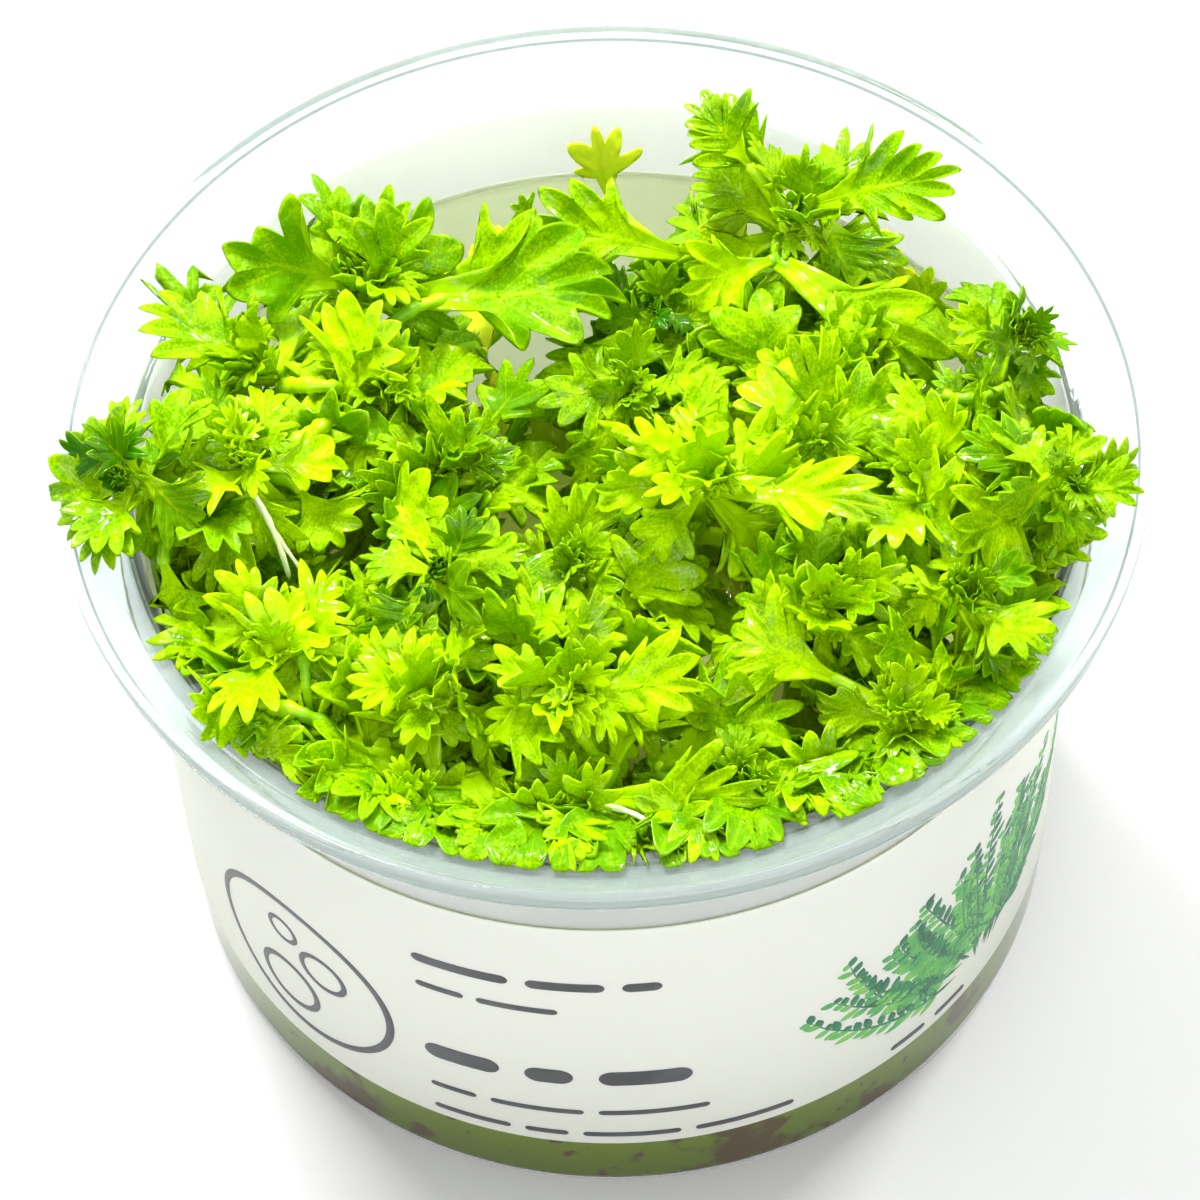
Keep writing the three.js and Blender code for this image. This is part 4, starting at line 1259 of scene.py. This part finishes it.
class VIOLET_OT_cup(bpy.types.Operator):
    """Clear cup with its stepped, flared rim"""
    bl_idname = "violet.cup"
    bl_label = "Clear Cup"

    def execute(self, context):
        settings = context.scene.violet_cup
        profile = rounded_profile([
            (WALL_RADIUS, 0, 1.4), (WALL_RADIUS, WALL_TOP, 0.8),
            (WALL_RADIUS + 2.3, WALL_TOP + 1.1, 0.4), (RIM_RADIUS - 1.2, RIM_HEIGHT - 1.2, 0.4),
            (RIM_RADIUS - 0.7, RIM_HEIGHT - LIP_DROP, 0.25),
            (RIM_RADIUS, RIM_HEIGHT - LIP_DROP, 0.25),
            (RIM_RADIUS, RIM_HEIGHT - 0.2, 0.5), (RIM_RADIUS - 0.8, RIM_HEIGHT, 0.3),
            (WALL_RADIUS + 2.6, WALL_TOP + 2.0, 0.3), (WALL_RADIUS + 2.2, WALL_TOP + 1.5, 0.2),
            (WALL_RADIUS + 1.2, WALL_TOP + 1.2, 0.4), (WALL_INSIDE, WALL_TOP + 0.8, 0.5),
            (WALL_INSIDE, FLOOR_THICKNESS, 1.0)])
        profile = np.concatenate([profile, [[0, FLOOR_THICKNESS], [0, 0]], profile[:1]])
        points = turned_points(profile, settings.segments + 1)
        faces = grid_faces(len(profile), settings.segments + 1)
        declare(put_mesh("cup_moulding", points, faces, cup_plastic(settings)),
                "cup")
        return {"FINISHED"}


class VIOLET_OT_label(bpy.types.Operator):
    """White film label round the wall, open at its seam"""
    bl_idname = "violet.label"
    bl_label = "Label"

    def execute(self, context):
        section = rounded_profile([
            (LABEL_INNER, LABEL_BOTTOM, 0.02), (LABEL_OUTER, LABEL_BOTTOM, 0.03),
            (LABEL_OUTER, LABEL_TOP, 0.03), (LABEL_INNER, LABEL_TOP, 0.02)], 3)
        section = np.concatenate([section, section[:1]])
        points = turned_points(section, LABEL_STEPS, LABEL_SEAM + 0.5 * LABEL_SEAM_GAP,
                               LABEL_SEAM - 0.5 * LABEL_SEAM_GAP + 2 * math.pi)
        end = np.arange(len(section) - 1)[None] * LABEL_STEPS
        faces = [grid_faces(len(section), LABEL_STEPS), end[:, ::-1], end + LABEL_STEPS - 1]
        material = label_film(context.scene.violet_label)
        declare(put_mesh("label_film", points, faces, material), "label")
        return {"FINISHED"}


class VIOLET_OT_print(bpy.types.Operator):
    """Generic printing on the label: plain bars, a round mark and green sprigs"""
    bl_idname = "violet.print"
    bl_label = "Label Printing"

    def execute(self, context):
        settings = context.scene.violet_label
        ink = printed_ink("matt_grey_ink", settings.ink, hex_colour("#4A4C4E"))
        dark = printed_ink("dark_green_ink", settings.dark_green, hex_colour("#1C7A4A"))
        light = printed_ink("light_green_ink", settings.light_green, hex_colour("#6CB84A"))
        stems, left, right = sprig_strips()
        for name, strips, material in (("printed_bars", bar_strips(), ink),
                                       ("printed_rings", ring_strips(), ink),
                                       ("printed_sprig_stems", stems, dark),
                                       ("printed_sprig_leaves_left", left, dark),
                                       ("printed_sprig_leaves_right", right, light)):
            swept_piece(name, strips, material, order=-1)
        return {"FINISHED"}


class VIOLET_OT_gel(bpy.types.Operator):
    """Disc of growing gel in the bottom of the cup, slightly waved on top"""
    bl_idname = "violet.gel"
    bl_label = "Gel"

    def execute(self, context):
        settings = context.scene.violet_gel
        edge = WALL_RADIUS - 0.5 * WALL_THICKNESS
        bottom = 0.4 * FLOOR_THICKNESS
        radius = np.linspace(edge - 1.6, 0, 60)
        wave = 0.25 * np.sin(radius * 0.55) * smooth_rise(edge - radius, 0, 8)
        rim = rounded_profile([(edge, bottom, 0.9), (edge, GEL_TOP + GEL_CREEP, 0.15),
                               (edge - 1.2, GEL_TOP, 0.5)])
        profile = np.concatenate([[[0, bottom]], rim[:-1],
                                  np.stack([radius, GEL_TOP + wave], axis=-1)])
        points = turned_points(profile, settings.segments + 1)
        faces = grid_faces(len(profile), settings.segments + 1)
        declare(put_mesh("agar_gel", points, faces, agar_gel(settings)), "gel")
        return {"FINISHED"}


class VIOLET_OT_stems(bpy.types.Operator):
    """Stems that rise from the gel and lean into their whorls, and their side shoots"""
    bl_idname = "violet.stems"
    bl_label = "Stems"

    def execute(self, context):
        settings = context.scene.violet_stem
        material = juicy_stem(settings)
        rings, sides = STEM_TUBE
        t = np.linspace(0, 1, rings)
        swell = 1 + 0.1 * np.exp(-((t * 7 % 1) - 0.5) ** 2 / 0.02)
        for number in range(len(SHOOTS)):
            radii = settings.radius * (1 - 0.25 * t) * swell
            tube = swept_tubes(stem_controls(number)[None], t, radii, sides)
            swept_piece(f"stem_skin_{number + 1:02d}", tube, material,
                        f"stem_{number + 1:02d}")
        controls = np.array([side_controls(*branch)[0] for branch in BRANCHES])
        t = t[::3]
        tubes = swept_tubes(controls, t, settings.radius * (0.85 - 0.25 * t), BRANCH_SIDES)
        swept_piece("side_stems", tubes, material)
        return {"FINISHED"}


class VIOLET_OT_whorls(bpy.types.Operator):
    """Leafy whorls at the tops of the shoots"""
    bl_idname = "violet.whorls"
    bl_label = "Whorls"

    def execute(self, context):
        for number, crown in enumerate(CROWNS):
            sets = [whorl_leaves(number), heart_leaves(number)]
            sets += [spanned_leaf(crown, tip, width, shoot_axis(number), 3, TONES[number])
                     for shoot, *tip, width in REACHES if shoot == number + 1]
            leaf_piece(f"whorl_leaves_{number + 1:02d}", joined_leaves(sets),
                       context.scene.violet_leaf, WHORL_GRID, f"whorl_{number + 1:02d}")
        return {"FINISHED"}


class VIOLET_OT_big_leaves(bpy.types.Operator):
    """Large single leaves that stand out of the mass"""
    bl_idname = "violet.big_leaves"
    bl_label = "Large Leaves"

    def execute(self, context):
        for name, start, end, width, face, tone, lobes, cut, chance in BIG_LEAVES:
            leaf = spanned_leaf(start, end, width, face, lobes, tone, chance=chance, cut=cut)
            leaf_piece(f"{name}_blade", leaf, context.scene.violet_leaf, BIG_GRID, name)
        return {"FINISHED"}


class VIOLET_OT_lower_leaves(bpy.types.Operator):
    """Tufts on the side shoots, and leaves lower on the stems, yellower with depth"""
    bl_idname = "violet.lower_leaves"
    bl_label = "Lower Leaves"

    def execute(self, context):
        tufts = joined_leaves([side_shoot_leaves(*branch) for branch in BRANCHES])
        lower = joined_leaves([stem_leaves(number) for number in range(len(SHOOTS))])
        x, y, radius = OPENING
        outside = np.hypot(tufts["base"][:, 0] - x, tufts["base"][:, 1] - y) > radius
        tufts = {key: value[outside] for key, value in tufts.items()}
        for name, leaves, grid in (("side_tufts", tufts, TUFT_GRID),
                                   ("lower_leaves", lower, LOWER_GRID)):
            left = leaves["base"][:, 0] < 0
            for half, keep in (("left", left), ("right", ~left)):
                chosen = {key: value[keep] for key, value in leaves.items()}
                leaf_piece(f"{name}_{half}", chosen, context.scene.violet_leaf, grid)
        return {"FINISHED"}


class VIOLET_OT_free_leaves(bpy.types.Operator):
    """Single leaves between the shoots, old yellow ones below, and those by the wall, on stalks"""
    bl_idname = "violet.free_leaves"
    bl_label = "Single Leaves"

    def execute(self, context):
        free, old = table_leaves(FREE_LEAVES, 3), table_leaves(OLD_LEAVES, 5)
        edge = joined_leaves([edge_leaves(), shoulder_leaves()])
        for name, leaves, grid in (("single_leaves", free, SINGLE_GRID),
                                   ("old_leaves", old, WALL_GRID), ("wall_leaves", edge, WALL_GRID)):
            leaf_piece(name, leaves, context.scene.violet_leaf, grid)
        rings, sides = STALK_TUBE
        radii = np.append(np.linspace(0.8, 0.62, rings - 1), 0)
        controls = stalk_controls(joined_leaves([free, old, edge]))
        tubes = swept_tubes(controls, np.linspace(0, 1, rings), radii, sides)
        swept_piece("leaf_stalks", tubes, bpy.data.materials["juicy_stem"])
        return {"FINISHED"}


class VIOLET_OT_roots(bpy.types.Operator):
    """White roots, fine filaments and bare stretches of stem between the leaves"""
    bl_idname = "violet.roots"
    bl_label = "Roots and Bare Stems"

    def execute(self, context):
        white = pale_root(context.scene.violet_stem)
        rings, sides = ROOT_TUBE
        t = np.linspace(0, 1, rings)
        swell = 1.15 - 0.4 * t + 0.12 * np.sin(t * 17) + 0.08 * np.sin(t * 41 + 1)
        for name, table, material in (("pale_roots", ROOTS, white),
                                      ("bare_stems", BARE_STEMS, bpy.data.materials["juicy_stem"])):
            controls, radius = table[:, :12].reshape(-1, 4, 3), table[:, 12:]
            tubes = swept_tubes(controls, t, radius * swell, sides)
            swept_piece(name, tubes, material)
        return {"FINISHED"}


class VIOLET_OT_stage(bpy.types.Operator):
    """Plain pale floor, soft studio light and the camera"""
    bl_idname = "violet.stage"
    bl_label = "Stage"

    def execute(self, context):
        settings = context.scene.violet_stage
        corners = [(x * FLOOR_REACH, y * FLOOR_REACH, FLOOR_HEIGHT)
                   for x, y in ((-1, -1), (1, -1), (1, 1), (-1, 1))]
        put_mesh("studio_floor", corners, np.array([[0, 1, 2, 3]]), plain_floor(settings))
        world = bpy.data.worlds.new("studio_white")
        world.use_nodes = True
        world.node_tree.nodes.clear()
        sky = add_node(world.node_tree, "Background", {"Color": (1, 1, 1, 1), "Strength": SKY_STRENGTH})
        add_node(world.node_tree, "OutputWorld", {"Surface": sky})
        context.scene.world = world
        for name, at, size, power in LAMPS:
            lamp = bpy.data.lights.new(name, "AREA")
            lamp.shape = "SQUARE"
            lamp.size = size
            lamp.energy = power
            light = bpy.data.objects.new(name, lamp)
            light.location = at
            light.rotation_mode = "QUATERNION"
            light.rotation_quaternion = (LAMP_TARGET - Vector(at)).to_track_quat("-Z", "Y")
            context.scene.collection.objects.link(light)
        place_camera(context, settings)
        context.scene.view_settings.view_transform = "Standard"
        return {"FINISHED"}


def place_camera(context, settings):
    """Camera that looks from the front and above, rolled slightly."""
    back = np.array([0.0, -math.cos(settings.elevation), math.sin(settings.elevation)])
    right = np.array([1.0, 0.0, 0.0])
    up = np.cross(back, right)
    right, up = (right * math.cos(CAMERA_ROLL) + up * math.sin(CAMERA_ROLL),
                 up * math.cos(CAMERA_ROLL) - right * math.sin(CAMERA_ROLL))
    lens = bpy.data.cameras.new("photo_camera")
    lens.sensor_width = CAMERA_SENSOR
    lens.lens = CAMERA_LENS
    lens.clip_start, lens.clip_end = CAMERA_CLIP
    camera = bpy.data.objects.new("photo_camera", lens)
    place = np.array(CAMERA_TARGET) + back * settings.distance
    camera.matrix_world = Matrix(np.vstack([np.column_stack([right, up, back, place]),
                                            [0, 0, 0, 1]]).tolist())
    context.scene.collection.objects.link(camera)
    context.scene.camera = camera


class VIOLET_PT_panel(bpy.types.Panel):
    """Sidebar panel that lists the pieces"""
    bl_idname = "VIOLET_PT_panel"
    bl_label = "Water Violet"
    bl_space_type = "VIEW_3D"
    bl_region_type = "UI"
    bl_category = "Water Violet"

    def draw(self, context):
        for operator in OPERATORS:
            self.layout.operator(operator.bl_idname)


GROUPS = {
    "violet_cup": CupSettings, "violet_label": LabelSettings, "violet_gel": GelSettings,
    "violet_leaf": LeafSettings, "violet_stem": StemSettings, "violet_stage": StageSettings,
}

OPERATORS = [
    VIOLET_OT_cup, VIOLET_OT_label, VIOLET_OT_print, VIOLET_OT_gel, VIOLET_OT_stems,
    VIOLET_OT_whorls, VIOLET_OT_big_leaves, VIOLET_OT_lower_leaves, VIOLET_OT_free_leaves,
    VIOLET_OT_roots, VIOLET_OT_stage,
]


def register():
    for group in GROUPS.values():
        bpy.utils.register_class(group)
    for name, group in GROUPS.items():
        setattr(bpy.types.Scene, name, bpy.props.PointerProperty(type=group))
    for operator in OPERATORS:
        bpy.utils.register_class(operator)
    bpy.utils.register_class(VIOLET_PT_panel)


def unregister():
    bpy.utils.unregister_class(VIOLET_PT_panel)
    for operator in reversed(OPERATORS):
        bpy.utils.unregister_class(operator)
    for name, group in GROUPS.items():
        delattr(bpy.types.Scene, name)
        bpy.utils.unregister_class(group)


def main():
    """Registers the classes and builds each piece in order."""
    register()
    bpy.ops.violet.cup()
    bpy.ops.violet.label()
    bpy.ops.violet.print()
    bpy.ops.violet.gel()
    bpy.ops.violet.stems()
    bpy.ops.violet.whorls()
    bpy.ops.violet.big_leaves()
    bpy.ops.violet.lower_leaves()
    bpy.ops.violet.free_leaves()
    bpy.ops.violet.roots()
    bpy.ops.violet.stage()


if __name__ == "__main__":
    main()
